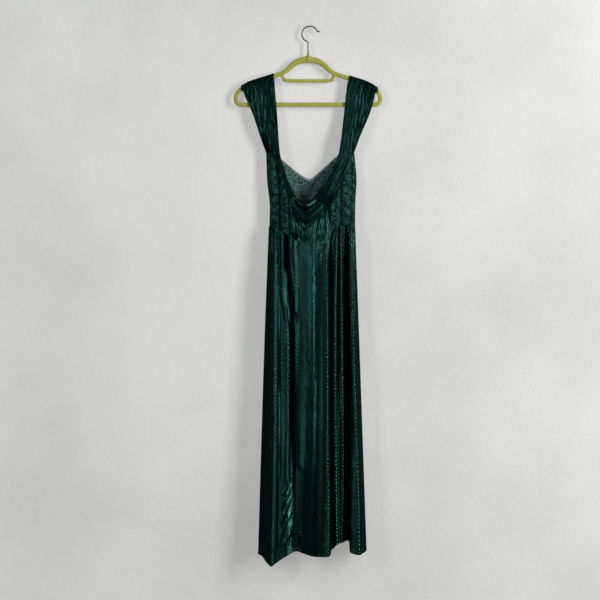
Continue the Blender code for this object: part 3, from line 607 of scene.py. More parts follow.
def skirt(name, panel, material):
    grid, below, above_hem = skirt_grid(panel)
    # The gathers start shallow, in line with the bodice.
    seam_y = bodice(grid[0, :, 0], grid[0, :, 2], panel.facing)[:, 1]
    depth = GATHER_START + (1 - GATHER_START) * bump_between(below, 0, FAR, GATHER_EASE)
    grid[..., 1] = seam_y + (grid[..., 1] - seam_y) * depth
    normal = normals_of(grid, panel.facing)
    normal[:, 0] = (-1, 0, 0)
    normal[:, -1] = (1, 0, 0)
    x, z = grid[..., 0], grid[..., 2]
    column = np.arange(grid.shape[1])
    inside = np.clip(np.minimum(column, column[::-1]) / 10, 0, 1)[None, :]
    lift = crease_lift(panel.creases, x, z) + crumple_lift(panel.crumples, x, z)
    pucker = WAIST_PUCKER * waves(x, z, 7, 6.5, 260, panel.seed) * bell(below, WAIST_PUCKER_DEPTH)
    drape = 0.45 * waves(x, z, 9, 44, 1100, panel.seed + 1) + 0.10 * waves(x, z, 9, 15, 420, panel.seed + 2)
    lift = (lift + pucker + drape * np.clip(below / 40, 0, 1)) * inside
    hem = HEM_EXTRA * np.clip((HEM_TURNED - above_hem) / 0.6, 0, 1)
    outer = grid + normal * (lift + SATIN / 2 + hem)[..., None]
    inner = grid + normal * (lift - SATIN / 2)[..., None]
    u, v = lengths(grid)
    narrow = [c for c in panel.creases if c.half_width < BROAD]
    wide = [c for c in panel.creases if c.half_width >= BROAD]
    ridge = np.clip((crease_lift(narrow, x, z) - 0.3) / 1.6, 0, 1)
    broad = np.clip(crease_lift(wide, x - 7, z) / 2, 0, 1)
    bunched = FLAT_RIBBING + HIGH_RIBBING * bell(below, HIGH_REACH) + ridge + 0.5 * broad
    plain = bump_between(x, *panel.plain_band, 4) * bump_between(-z, PLAIN_HIGH, PLAIN_LOW, 80)
    # A band towards the hem whose colour gets painted shade and whose ribs are weaker.
    shaded = 0.7 * bump_between(x, *panel.shaded_band, 22) * bump_between(-z, SHADED_FROM, FAR, 90)
    fields = {
        "rib": rib_phase(x, z, u, v, panel.turns),
        "ribbing": np.clip(bunched, 0, 1) * (1 - 0.85 * plain) * (1 - shaded),
        "above_hem": above_hem * MM,
        # Painted shade: the deep creases and the band towards the hem are darkened in colour.
        "hollow": np.clip(np.clip((-lift - 1.2) / 4.0, 0, 0.8) + shaded, 0, 0.9),
    }
    return cloth(name, outer, inner, material, (u, v), fields)


def clear_stage():
    """Removes any camera and light that were there before."""
    for obj in list(bpy.data.objects):
        if obj.type in {"CAMERA", "LIGHT"}:
            bpy.data.objects.remove(obj)


class Nodes:
    """Short calls for the node tree of one material."""

    def __init__(self, name):
        self.material = bpy.data.materials.new(name)
        self.material.use_nodes = True
        self.tree = self.material.node_tree
        self.shader = self.tree.nodes["Principled BSDF"]

    def put(self, socket, value):
        if isinstance(value, bpy.types.NodeSocket):
            self.tree.links.new(value, socket)
        else:
            socket.default_value = value

    def outputs(self, kind, inputs=(), **settings):
        """A new node's outputs."""
        node = self.tree.nodes.new(kind)
        for key, value in settings.items():
            setattr(node, key, value)
        for key, value in dict(inputs).items():
            self.put(node.inputs[key], value)
        return node.outputs

    def add(self, kind, inputs=(), out=0, **settings):
        return self.outputs(kind, inputs, **settings)[out]

    def math(self, operation, *values):
        return self.add("ShaderNodeMath", dict(enumerate(values)), operation=operation)

    def times(self, a, b):
        return self.math("MULTIPLY", a, b)

    def vector(self, operation, a, b):
        last = "Scale" if operation == "SCALE" else 1
        return self.add("ShaderNodeVectorMath", {0: a, last: b}, operation=operation)

    def cells(self, vector, scale, randomness, **settings):
        inputs = {"Vector": vector, "Scale": scale, "Randomness": randomness}
        return self.outputs("ShaderNodeTexVoronoi", inputs, voronoi_dimensions="2D", **settings)

    def remap(self, value, low, high, to_low=0.0, to_high=1.0):
        inputs = {"Value": value, "From Min": low, "From Max": high, "To Min": to_low, "To Max": to_high}
        return self.add("ShaderNodeMapRange", inputs, interpolation_type="SMOOTHSTEP")

    def mix(self, factor, a, b):
        inputs = {0: factor, 6: self.colour(a), 7: self.colour(b)}
        return self.add("ShaderNodeMix", inputs, out=2, data_type="RGBA")

    def colour(self, value):
        return value if isinstance(value, bpy.types.NodeSocket) else (*value, 1.0)

    def noise(self, vector, scale, detail=2.0, roughness=0.5, stretch=None):
        if stretch:
            vector = self.add("ShaderNodeMapping", {"Vector": vector, "Scale": stretch})
        inputs = {"Vector": vector, "Scale": scale, "Detail": detail, "Roughness": roughness}
        return self.add("ShaderNodeTexNoise", inputs)

    def uv(self):
        return self.add("ShaderNodeUVMap", uv_map="cloth")

    def place(self):
        return self.add("ShaderNodeTexCoord", out=3)

    def field(self, name):
        return self.add("ShaderNodeAttribute", out=2, attribute_name=name)

    def bump(self, height, distance, strength=1.0, after=None):
        inputs = {"Height": height, "Distance": distance, "Strength": strength}
        if after:
            inputs["Normal"] = after
        return self.add("ShaderNodeBump", inputs)

    def finish(self, colour, normal, roughness, **constants):
        self.put(self.shader.inputs["Base Color"], self.colour(colour))
        if normal:
            self.put(self.shader.inputs["Normal"], normal)
        self.put(self.shader.inputs["Roughness"], roughness)
        for key, value in constants.items():
            self.put(self.shader.inputs[key.replace("_", " ")], value)
        return self.material


DEEP = (0.0001, 0.0024, 0.0019)
TEAL = (0.0005, 0.0082, 0.0062)
SHINE = (0.24, 1.0, 0.84, 1.0)
SHEEN_TINT = (0.2, 0.85, 0.62, 1.0)
SHADOW = (0.0, 0.0008, 0.0006)
STITCHES_UP = 0.0075
STITCH_LONG = 0.0032


def hem_stitches(n, uv):
    """A row of short stitches that holds the turned hem."""
    across = n.add("ShaderNodeSeparateXYZ", {0: uv})
    off = n.math("ABSOLUTE", n.math("SUBTRACT", n.field("above_hem"), STITCHES_UP))
    row = n.remap(off, 0.0003, 0.0007, 1.0, 0.0)
    dash = n.math("SINE", n.times(across, 2 * math.pi / STITCH_LONG))
    return n.times(row, n.remap(dash, -0.6, -0.2))


def satin(name, rib_height, streak_height, roughness, gloss):
    """Satin with ribs, which follow the field named rib, or with fine streaks where rib_height is 0."""
    n = Nodes(name)
    uv = n.uv()
    wander = n.noise(uv, 30)
    cloud = n.noise(uv, 9, 3.0, 0.6)
    if rib_height:
        phase = n.math("ADD", n.field("rib"), n.times(wander, 0.9))
        wave = n.math("SINE", n.times(phase, 2 * math.pi))
        rib = n.math("MULTIPLY_ADD", wave, 0.5, 0.5)
        uneven = n.remap(n.noise(uv, 120, 1.0, 0.5, (1, 0.4, 1)), 0.3, 0.7, 0.7, 1.0)
        rib = n.times(n.times(rib, uneven), n.field("ribbing"))
        stitches = hem_stitches(n, uv)
        normal = n.bump(stitches, 0.0004, 1.0, n.bump(rib, rib_height * MM))
        # The colour is lighter on the rib crests and darker in the rib grooves, a painted highlight and
        # painted shade, on top of an uneven tone.
        tone_and_painted_relief_light = n.math("MULTIPLY_ADD", rib, 0.5, n.times(cloud, 0.6))
        tone_and_painted_relief_light = n.math("ADD", tone_and_painted_relief_light, n.times(stitches, 0.4))
    else:
        streak = n.noise(uv, 700, 2.0, 0.6, (1, 0.035, 1))
        normal = n.bump(streak, streak_height * MM)
        # The colour is lighter where the streaks stand up, a painted highlight, on top of an uneven tone.
        tone_and_painted_relief_light = n.math("MULTIPLY_ADD", streak, 0.5, n.times(cloud, 0.4))
    weave = n.noise(uv, 2600, 1.0, 0.5, (1, 0.5, 1))
    normal = n.bump(weave, 0.00006, 0.6, normal)
    shade = n.mix(n.remap(tone_and_painted_relief_light, 0.15, 0.85), DEEP, TEAL)
    # Painted shade: the colour is darkened towards SHADOW where the shade field marks a crease, a fold or a
    # sunken part.
    shade = n.mix(n.times(n.field("hollow"), 0.85), shade, SHADOW)
    rough = n.math("MULTIPLY_ADD", cloud, 0.12, roughness - 0.06)
    sheen = {"Sheen_Weight": 0.02, "Sheen_Roughness": 0.4, "Sheen_Tint": SHEEN_TINT}
    return n.finish(shade, normal, rough, Specular_IOR_Level=gloss, Specular_Tint=SHINE, **sheen)


def petal_mask(n, vector, scale, petals, size):
    """Flowers of rounded petals, one a cell, each turned its own way."""
    cells = n.cells(vector, scale, 0.75)
    spot = n.vector("SUBTRACT", n.vector("SCALE", vector, scale), cells["Position"])
    parts = n.outputs("ShaderNodeSeparateXYZ", {0: spot})
    hue = n.add("ShaderNodeSeparateColor", {0: cells["Color"]})
    angle = n.math("ARCTAN2", parts[1], parts[0])
    turned = n.math("MULTIPLY_ADD", hue, 6.0, n.times(angle, petals))
    reach = n.math("MULTIPLY_ADD", n.math("COSINE", turned), size * 0.36, size)
    distance = cells["Distance"]
    past = n.math("SUBTRACT", reach, distance)
    inside = n.remap(past, -0.03, 0.03)
    heart = n.remap(distance, size * 0.16, size * 0.26, 0.0, 1.0)
    veins = n.remap(n.math("COSINE", n.times(turned, 2.0)), -0.9, -0.2, 0.15, 0.6)
    filled = n.times(inside, n.times(heart, veins))
    cord = n.remap(n.math("ABSOLUTE", n.math("SUBTRACT", past, 0.04)), 0.03, 0.09, 1.0, 0.0)
    return n.math("MAXIMUM", filled, cord)


def lace_mask(n, uv, size):
    """Thread density of a floral lace: flowers, small buds and stems with painted glint speckles, and the
    net between them.
    """
    warp = n.add("ShaderNodeTexNoise", {"Vector": uv, "Scale": 60.0, "Detail": 1.0}, out=1)
    shift = n.vector("SCALE", n.vector("ADD", warp, (-0.5, -0.5, -0.5)), 0.005)
    bent = n.vector("ADD", uv, shift)
    flowers = petal_mask(n, bent, 50.0 / size, 5.0, 0.33)
    buds = petal_mask(n, n.vector("ADD", bent, (0.37, 0.21, 0)), 130.0 / size, 4.0, 0.30)
    stems = n.cells(bent, 84.0 / size, 1.0, feature="DISTANCE_TO_EDGE")[0]
    stems = n.remap(stems, 0.05, 0.12, 0.75, 0.0)
    net = n.cells(uv, 620.0, 0.25, feature="DISTANCE_TO_EDGE")[0]
    net = n.remap(net, 0.08, 0.20, 1.0, 0.0)
    motif = n.math("MAXIMUM", flowers, n.math("MAXIMUM", n.times(buds, 0.9), stems))
    # Bright speckles along the motif's threads: uneven thread, and a painted glint on it.
    speckle_and_painted_glints = n.remap(n.noise(uv, 300, 1.0), 0.44, 0.58, 0.30, 1.25)
    return n.times(motif, speckle_and_painted_glints), net


LACE_THREAD = (0.060, 0.225, 0.190)
LACE_GROUND = (0.0003, 0.0040, 0.0031)


def lace_over_satin(name):
    n = Nodes(name)
    uv = n.uv()
    motif, net = lace_mask(n, uv, 1.0)
    thread = n.math("MAXIMUM", motif, n.times(net, 0.08))
    cloud = n.noise(uv, 60, 3.0, 0.7)
    lit = n.times(thread, n.remap(cloud, 0.40, 0.64, 0.12, 1.0))
    # Painted shade: the threads are dimmed where the shade field marks a crease or the foot by the waist
    # seam.
    lit = n.times(lit, n.math("SUBTRACT", 1.0, n.field("hollow")))
    shade = n.mix(lit, LACE_GROUND, LACE_THREAD)
    normal = n.bump(thread, 0.0005)
    normal = n.bump(n.noise(uv, 1800, 1.0), 0.0001, 0.7, normal)
    rough = n.remap(thread, 0.0, 1.0, 0.42, 0.62)
    return n.finish(shade, normal, rough, Specular_IOR_Level=0.1, Specular_Tint=SHINE, Sheen_Weight=0.02)


def sheer_lace(name):
    n = Nodes(name)
    uv = n.uv()
    motif, net = lace_mask(n, uv, 1.1)
    thread = n.math("MAXIMUM", motif, n.times(net, 0.75))
    shown = n.math("MAXIMUM", motif, n.times(net, 0.2))
    shade = n.mix(shown, (0.002, 0.026, 0.020), (0.18, 0.42, 0.36))
    normal = n.bump(thread, 0.0004)
    open_spot = n.remap(n.noise(uv, 300, 1.0, 0.5, (1, 1.6, 1)), 0.57, 0.66, 0.0, 0.32)
    alpha = n.math("SUBTRACT", n.remap(thread, 0.12, 0.5, 0.93, 1.0), open_spot)
    n.put(n.shader.inputs["Alpha"], alpha)
    return n.finish(shade, normal, 0.6, Specular_IOR_Level=0.35, Sheen_Weight=0.05)


def flock(name):
    n = Nodes(name)
    place = n.place()
    pile = n.noise(place, 2200, 2.0, 0.7)
    rubbed = n.noise(place, 55, 3.0, 0.6)
    shade = n.mix(n.remap(rubbed, 0.35, 0.75), (0.50, 0.50, 0.105), (0.60, 0.59, 0.155))
    shade = n.mix(n.remap(pile, 0.35, 0.65, 0.0, 0.35), shade, (0.36, 0.37, 0.065))
    normal = n.bump(pile, 0.0004, 0.8)
    sheen = {"Sheen_Weight": 0.45, "Sheen_Roughness": 0.5, "Sheen_Tint": (0.85, 0.9, 0.45, 1.0)}
    return n.finish(shade, normal, 0.92, Specular_IOR_Level=0.2, **sheen)


def bronze(name):
    n = Nodes(name)
    place = n.place()
    worn = n.noise(place, 160, 3.0, 0.6)
    shade = n.mix(n.remap(worn, 0.4, 0.7), (0.055, 0.040, 0.032), (0.20, 0.155, 0.125))
    normal = n.bump(n.noise(place, 900, 2.0, 0.6, (1, 1, 0.15)), 0.00008, 0.5)
    rough = n.remap(worn, 0.3, 0.7, 0.38, 0.24)
    return n.finish(shade, normal, rough, Metallic=1.0)


def edge_points(level, across):
    """x and z of the points of one level of a strap, between its inner and its outer edge."""
    return between(level.inner_x, level.outer_x, across), between(level.inner_z, level.outer_z, across)


def strap_level(level, facing, across):
    x, z = edge_points(level, across)
    depth = between(level.inner_depth, level.outer_depth, across)
    return np.stack([x, facing * depth, z], -1)


def arm_line(top, angle, across):
    """One line of a strap where it lies round the hanger's arm."""
    x = between(*top, across)
    centre, before, after = (through(ARM_STRETCH, abs(x + step - HANGER_X)) for step in (0, -1, 1))
    height = ARM_HALF_HEIGHT * np.hypot(1, (after - before) / 2) + STRAP_CLEARANCE
    depth = ARM_HALF_DEPTH + STRAP_CLEARANCE
    return np.stack([x, -depth * math.cos(angle) + 0 * x, centre + height * math.sin(angle)], -1)


def strap_surface(cut, across):
    """The strap's inner side, where its rows lie along it, and which of them lie on the hanger's arm."""
    rows = [strap_level(level, BACK, across) for level in reversed(cut.back_hanging)]
    rows += [arm_line(cut.top, math.radians(angle), across) for angle in range(180, -1, -ARM_STEP)]
    rows += [strap_level(level, FRONT, across) for level in cut.front_hanging]
    for level in cut.front_laid:
        x, z = edge_points(level, across)
        rows.append(bodice(x, z, FRONT, LAID_CLEARANCE + 0 * x))
    grid = np.array(rows)
    middle = grid[:, len(across) // 2]
    along = run(middle, 0)
    first_arm = len(cut.back_hanging)
    arm = along[first_arm : first_arm + 180 // ARM_STEP + 1]
    before = np.linspace(0, arm[0], 40)[:-1]
    after = np.linspace(arm[-1], along[-1], 76)[1:]
    at = np.concatenate([before, arm, after])
    flat = grid.reshape(len(grid), -1).T
    fine = smooth(along, flat, at).T.reshape(len(at), len(across), 3)
    return fine, at, arm


PLEAT_STEPS = (0, 0.2, 0.4, 0.58, 0.74, 0.86, 0.94)
PLEAT_SHAPE = (0, 0.22, 0.5, 0.78, 0.97, 0.92, 0.35, 0)


def pleats(across, count, seed):
    """Heights of uneven pressed pleats, between 0 and 1: a slow rise, then a sharp drop to either side."""
    draw = np.random.default_rng(seed)
    edges = pleat_edges(count, seed)
    which = np.clip(np.searchsorted(edges, across, "right") - 1, 0, count - 1)
    part = (across - edges[which]) / (edges[which + 1] - edges[which])
    turned = draw.random(count)[which] < 0.3
    height = draw.uniform(0.4, 1.0, count)[which]
    shape = np.interp(np.where(turned, 1 - part, part), (*PLEAT_STEPS, 1), PLEAT_SHAPE)
    return height * shape, which


def pleat_edges(count, seed):
    widths = np.random.default_rng(seed + 50).uniform(0.6, 1.5, count)
    return np.concatenate([[0], np.cumsum(widths)]) / widths.sum()


def pleat_columns(count, seed):
    edges = pleat_edges(count, seed)
    steps = edges[:-1, None] + np.diff(edges)[:, None] * np.array(PLEAT_STEPS)[None, :]
    return np.concatenate([steps.ravel(), [1.0]])


def strap(name, cut, material):
    """One pleated strap. Its pleats go flat on the inner side of one stretch, which hangs smooth."""
    across = pleat_columns(cut.pleats, cut.seed)
    inner, at, arm = strap_surface(cut, across)
    calm_along = [arm[-1] + past for past in cut.calm_past]
    normal = unit_normals(inner)
    away = np.zeros_like(normal)
    turn = np.clip((at - arm[0]) / (arm[-1] - arm[0]), 0, 1) * math.pi
    away[..., 1] = np.cos(turn)[:, None]
    away[..., 2] = np.sin(turn)[:, None]
    flip = np.sign((normal * away).sum(-1, keepdims=True))
    normal = normal * np.where(flip == 0, 1, flip)
    width = np.linalg.norm(inner[:, -1] - inner[:, 0], axis=-1)[:, None]
    tall = np.minimum(1.8, width / cut.pleats * 0.4)
    profile, which = pleats(across, cut.pleats, cut.seed)
    along = at[:, None]
    across = across[None, :]
    broken = 0.82 + 0.18 * waves(which[None, :] * 3.1, along, 6, 2.0, 40, cut.seed + 5)
    on_arm = bump_between(along, arm[0] - 12, arm[-1] + 12, 12)
    lift = tall * profile[None, :] * broken * (1 - 0.6 * on_arm)
    calm = np.clip((cut.calm_across - across) / 0.2 + 0.5, 0, 1) * bump_between(along, *calm_along, 40)
    lift = lift * (1 - 0.85 * calm)
    lift = lift + 0.7 * (1 - on_arm) * waves(across * width, along, 8, 16, 130, cut.seed + 9)
    end = np.clip((along - at[-1] * 0.92) / (at[-1] * 0.08), 0, 1)
    wall = (SATIN + 0.3) * (1 - 0.7 * end**2)
    outer = inner + normal * (wall + lift * (1 - 0.7 * end))[..., None]
    # Painted shade along the inner edge of the stretch that hangs smooth.
    shaded = np.clip((0.12 - across) / 0.05, 0, 1) * bump_between(along, *calm_along, 60)
    return cloth(name, outer, inner, material, lengths(inner), {"hollow": 0.9 * shaded})


def cowl(material):
    order = np.arange(len(COWL_FOLDS))
    rows, columns = 190, 120
    at = np.linspace(0, len(COWL_FOLDS) - 1, rows)
    along, low_x, low_z, stand_out, bend = (smooth(order, c, at)[:, None] for c in zip(*COWL_FOLDS))
    across = np.linspace(0, 1, columns)[None, :]
    left_x, left_z = edge_points(LEFT_FRONT_LAID[-1], along)
    right_x, right_z = edge_points(RIGHT_FRONT_LAID[-1], along)
    hang = 1 - np.abs(2 * across - 1) ** bend
    x = between(left_x, right_x, across) + (low_x - (left_x + right_x) / 2) * hang
    z = between(left_z, right_z, across) - COWL_END_GAP + (low_z - (left_z + right_z) / 2) * hang
    swell = np.sin(math.pi * across) ** 1.15
    lift = COWL_END_LIFT + (stand_out - COWL_END_LIFT) * swell
    profile, _ = pleats(along[:, 0], COWL_PLEATS, 17)
    lift = lift + COWL_PLEAT * profile[:, None] * (0.75 + 0.25 * waves(across, along, 5, 0.5, 0.4, 6))
    inner = bodice(x, z, FRONT, lift)
    outer = inner + normals_of(inner, FRONT) * SATIN
    # Painted shade where the drape sinks back between its folds, most in the middle.
    hollow = np.clip((4.0 - stand_out) / 4.0, 0, 1) * swell**2
    return cloth("cowl_drape", outer, inner, material, None, {"hollow": hollow})


def side_panel(name, seam, side, creases, material):
    rows, columns = 120, 44

    def column_x(z):
        left, right, _, _ = bodice_outline(z)
        edge = smooth([-p.z for p in seam], [p.x for p in seam], -z) + side * SEAM_GAP / 2
        middle, half = (left + right) / 2, (right - left) / 2
        ends = (left, edge) if side < 0 else (edge, right)
        a, b = (np.arccos(np.clip((middle - end) / half, -1, 1)) for end in ends)
        return middle - half * np.cos(a + (b - a) * np.linspace(0, 1, columns))

    foot_x = column_x(np.full(columns, BODICE_FOOT_Z, float))
    foot = (through(WAIST_FRONT_EDGE, foot_x) + SEAM_GAP)[None, :]
    down = np.linspace(0, 1, rows)[:, None]
    z = between(UNDERARM_Z, foot, down)
    x = column_x(z)
    dip = crease_lift(creases, x, z)
    dip = dip + 0.35 * waves(x, z, 8, 22, 160, 31 + side) * np.sin(math.pi * down) ** 0.5
    seam_near = bell(z - foot, 22)
    dip = dip + 0.5 * waves(x, z, 8, 6, 240, 51 + side) * seam_near
    # Painted shade in the creases and along the foot near the waist seam.
    hollow = np.clip(-dip / 3.2 + 0.45 * seam_near, 0, 0.9)
    return bodice_cloth(name, x, z, FRONT, dip, dip - LACE, material, {"hollow": hollow})


def midriff(material):
    rows, columns = 60, 260
    x = np.linspace(MIDRIFF_LEFT + SEAM_GAP / 2, MIDRIFF_RIGHT - SEAM_GAP / 2, columns)[None, :]
    bottom = through(WAIST_FRONT_EDGE, x) + SEAM_GAP
    top = straight(MIDRIFF_TOP_EDGE, x)
    z = between(bottom, top, np.linspace(0, 1, rows)[:, None])
    draw = np.random.default_rng(12)
    lift = np.zeros(z.shape)
    place = MIDRIFF_LEFT + 3
    while place < MIDRIFF_RIGHT - 3:
        near = abs(place - CLUSTER_X) < CLUSTER_HALF_WIDTH
        half = draw.uniform(1.1, 1.9)
        height = draw.uniform(1.4, 2.8) * (1.9 if near else 1.0)
        reach = draw.uniform(28, 75) if not near else draw.uniform(26, 42)
        lean = draw.uniform(-0.3, 0.3) if near else draw.uniform(0.05, 0.34)
        line = place + lean * (z - bottom)
        lift += height * bell(z - bottom, reach) * bell(x - line, half)
        place += half * draw.uniform(1.6, 2.6)
    # Painted shade in the valleys between the gathers, strongest towards the waist seam.
    hollow = 0.85 * np.clip(1 - lift / 1.3, 0, 1) * bell(z - bottom, 60)
    inside = np.full(z.shape, -SATIN)
    return bodice_cloth("midriff_gathers", x, z, FRONT, lift, inside, material, {"hollow": hollow})


def lace_back(material):
    edge_left, edge_right = BACK_TOP_EDGE[0].x, BACK_TOP_EDGE[-1].x
    rows, columns = 90, 150
    part = np.linspace(0, math.pi, columns)
    xs = (edge_left + edge_right) / 2 - (edge_right - edge_left) / 2 * np.cos(part)
    xs = np.unique(np.concatenate([xs, [p.x for p in BACK_TOP_EDGE]]))[None, :]
    across = (xs - edge_left) / (edge_right - edge_left)
    foot = BODICE_RINGS[0]
    bottom = through(WAIST_BACK_EDGE, between(foot.left, foot.right, across)) + SEAM_GAP
    up = np.linspace(0, 1, rows)[:, None]
    z = between(bottom, straight(BACK_TOP_EDGE, xs), up)
    left, right, _, _ = bodice_outline(z)
    follow = 1 - up * (1 - np.abs(2 * across - 1) ** 6)
    x = between(xs, between(left, right, across), follow)
    sway = 0.5 * waves(x, z, 8, 40, 150, 77) * np.sin(math.pi * across) * np.sin(math.pi * up) ** 0.5
    return bodice_cloth("lace_back", x, z, BACK, sway, sway - LACE, material)


def tube_mesh(name, route, half_height, half_depth, sides, closed=False, swell=1.0):
    """A rail of oval section along a route, as thick at each point as swell says."""
    route = np.asarray(route, float)
    if closed:
        tangent = np.roll(route, -1, 0) - np.roll(route, 1, 0)
    else:
        tangent = np.gradient(route, axis=0)
    tangent /= np.linalg.norm(tangent, axis=-1, keepdims=True)
    side = np.cross(tangent, (0, 1, 0))
    side /= np.linalg.norm(side, axis=-1, keepdims=True)
    third = np.cross(side, tangent)
    angle = np.linspace(0, 2 * math.pi, sides, endpoint=False)
    ring = (
        side[:, None] * (half_height * np.cos(angle))[None, :, None]
        + third[:, None] * (half_depth * np.sin(angle))[None, :, None]
    )
    points = (route[:, None] + ring * np.reshape(swell, (-1, 1, 1))) * MM
    count, index = len(route), np.arange(len(route) * sides).reshape(-1, sides)
    faces = []
    for i in range(count if closed else count - 1):
        a, b = index[i], index[(i + 1) % count]
        faces += np.stack([a, np.roll(a, -1), np.roll(b, -1), b], -1).tolist()
    if not closed:
        faces += [index[0][::-1].tolist(), index[-1].tolist()]
    mesh = bpy.data.meshes.new(name)
    mesh.from_pydata(points.reshape(-1, 3).tolist(), [], faces)
    mesh.shade_smooth()
    return mesh


def half_route(points, per_span):
    order = np.arange(len(points))
    at = np.linspace(0, len(points) - 1, (len(points) - 1) * per_span + 1)
    return smooth(order, np.transpose(points), at).T


def in_plane(pairs):
    return np.stack([pairs[:, 0] + HANGER_X, 0 * pairs[:, 0], pairs[:, 1]], -1)


def hanger_body(material):
    """Frame, inner bar and neck, melted into one moulded body."""
    half = half_route(HANGER_HALF, 10)
    loop = np.concatenate([half, (half * (-1, 1))[::-1][:-1]])
    near = np.clip(1 - np.abs(loop[:, 0]) / CROWN_HALF_WIDTH, 0, 1) * (loop[:, 1] > INNER_BAR_Z)
    swell = 1 + (CROWN_SWELL - 1) * near
    frame_mesh = tube_mesh("frame", in_plane(loop), ARM_HALF_HEIGHT, ARM_HALF_DEPTH, 28, True, swell)
    bar = half_route(INNER_BAR_HALF, 8)
    bar = in_plane(np.concatenate([bar * (-1, 1), bar[::-1]]))
    depth = INNER_BAR_RADIUS * ARM_HALF_DEPTH / ARM_HALF_HEIGHT
    bar_mesh = tube_mesh("bar", bar, INNER_BAR_RADIUS, depth, 24)
    heights = np.linspace(NECK_TOP_Z, NECK_TOP_Z - NECK_HEIGHT - 4, 9)
    neck = in_plane(np.stack([0 * heights, heights], -1))
    grow = np.linspace(NECK_TOP_RADIUS, NECK_FOOT_RADIUS + 1, 9)
    neck_mesh = tube_mesh("neck", neck, 1.0, NECK_SQUASH, 24, False, grow)
    whole = bmesh.new()
    for mesh in (frame_mesh, bar_mesh, neck_mesh):
        whole.from_mesh(mesh)
    bmesh.ops.recalc_face_normals(whole, faces=whole.faces[:])
    mesh = bpy.data.meshes.new("hanger_flocked")
    whole.to_mesh(mesh)
    whole.free()
    piece = finished("hanger_flocked", mesh, material)
    melt = piece.modifiers.new("melt", "REMESH")
    melt.mode = "VOXEL"
    melt.voxel_size = 1.3 * MM
    melt.use_smooth_shade = True
    soften = piece.modifiers.new("soften", "SMOOTH")
    soften.factor = 0.5
    soften.iterations = 3
    return piece


def hook(material):
    eye_z = -(HOOK_RADIUS - HOOK_WIRE)
    places = [(HANGER_X, -88.5), (HANGER_X, -60), (HANGER_X, -50), (HANGER_X - 1, -46.5)]
    for angle in range(228, 47, -12):
        turn = math.radians(angle)
        places.append((HOOK_RADIUS * math.cos(turn), eye_z + HOOK_RADIUS * math.sin(turn)))
    places += [(20.5, -10), (23, -13.8), (26.5, -15), (29, -12.5)]
    places = np.array(places, float)
    along = run_along(*places.T)
    at = np.linspace(0, along[-1], 220)
    x, z = smooth(along, places.T, at)
    swell = np.ones(len(at))
    swell[-12:] = np.sqrt(np.clip(1 - (np.linspace(0, 1, 12)) ** 4, 0.02, 1)) * 1.15
    mesh = tube_mesh("hook_wire", np.stack([x, 0 * x, z], -1), HOOK_WIRE, HOOK_WIRE, 20, False, swell)
    mesh.set_sharp_from_angle(angle=math.radians(60))
    return finished("hook_wire", mesh, material)


def binding(material):
    edge = [p for p in BACK_TOP_EDGE if -87 < p.x < 86]
    xs = np.linspace(edge[0].x, edge[-1].x, 150)
    z = straight(edge, xs) + (BINDING_RADIUS + SEAM_GAP) * NECKLINE_SLANT
    z = np.convolve(np.pad(z, 3, mode="edge"), np.ones(7) / 7, "valid")
    route = bodice(xs, z, BACK, np.full(xs.shape, -LACE / 2))
    mesh = tube_mesh("neckline_binding", route, BINDING_RADIUS, BINDING_RADIUS, 14)
    return finished("neckline_binding", mesh, material)


def stage_plane(name, first, last, material):
    """A plane across the stage between two lines, each given as y and z."""
    corners = [(-STAGE_HALF_WIDTH, *first), (STAGE_HALF_WIDTH, *first)]
    corners += [(STAGE_HALF_WIDTH, *last), (-STAGE_HALF_WIDTH, *last)]
    mesh = bpy.data.meshes.new(name)
    mesh.from_pydata(corners, [], [(0, 1, 2, 3)])
    plane = finished(name, mesh, material)
    plane.visible_shadow = False
    plane.visible_diffuse = False
    plane.visible_glossy = False


def plaster(name, colour, glow):
    """Pale plaster that is seen from its front only, so that views from behind look through it.

    Its own faint glow keeps the studio pale, so that the lights can stay as dim as the dark satin needs.
    """
    n = Nodes(name)
    place = n.place()
    patch = n.noise(place, 1.6, 4.0, 0.55)
    grain = n.noise(place, 60, 3.0, 0.6)
    shade = n.mix(n.remap(patch, 0.3, 0.7), tuple(c * 0.86 for c in colour), colour)
    n.finish(shade, n.bump(grain, 0.003, 0.5), 0.9, Emission_Strength=glow, Specular_IOR_Level=0.1)
    n.put(n.shader.inputs["Emission Color"], shade)
    clear = n.add("ShaderNodeBsdfTransparent")
    behind = n.outputs("ShaderNodeNewGeometry")["Backfacing"]
    mixed = n.add("ShaderNodeMixShader", {0: behind, 1: n.shader.outputs[0], 2: clear})
    n.put(n.tree.nodes["Material Output"].inputs["Surface"], mixed)
    return n.material


def area_light(name, place, height, power, colour):
    data = bpy.data.lights.new(name, "AREA")
    data.shape = "RECTANGLE"
    data.size, data.size_y = LAMP_WIDTH, height
    data.energy = power
    data.color = colour
    light = linked(name, data)
    light.location = place
    light.rotation_mode = "QUATERNION"
    light.rotation_quaternion = (Vector(LAMP_TARGET) - Vector(place)).to_track_quat("-Z", "Y")
    light.visible_camera = False


CAMERA_X = -0.0294
CAMERA_Z = -0.8196
CAMERA_FAR = 5.0
PICTURE_WIDTH = 1.8
SENSOR = 36.0
# The backdrop leans a little, so that it passes just behind the hanger and behind the hem.
WALL_AT_HANGER = 0.012
WALL_LEAN = 0.0185
STAGE_HALF_WIDTH = 3.2
STAGE_NEAR = -3.6
FLOOR_Z = -1.74
WALL_TOP_Z = 1.3
PLASTER_GLOW = 0.70

LAMP_WIDTH = 0.8
LAMP_TARGET = (0, 0, -0.6)
WARM = (1.0, 0.99, 0.97)
COOL = (0.97, 0.99, 1.0)
LAMPS = (
    ("key", (3.1, -2.05, 0.0), 2.8, 125, WARM),
    ("second", (-2.7, -2.6, 0.2), 2.6, 36, COOL),
    ("behind", (-0.5, 4.2, 0.6), 2.0, 44, WARM),
    ("behind_right", (1.6, 3.9, 0.5), 2.0, 12, COOL),
)
WORLD_COLOUR = (0.86, 0.88, 0.90, 1.0)
WORLD_AS_LIGHT = 0.04
WORLD_SEEN = 0.62


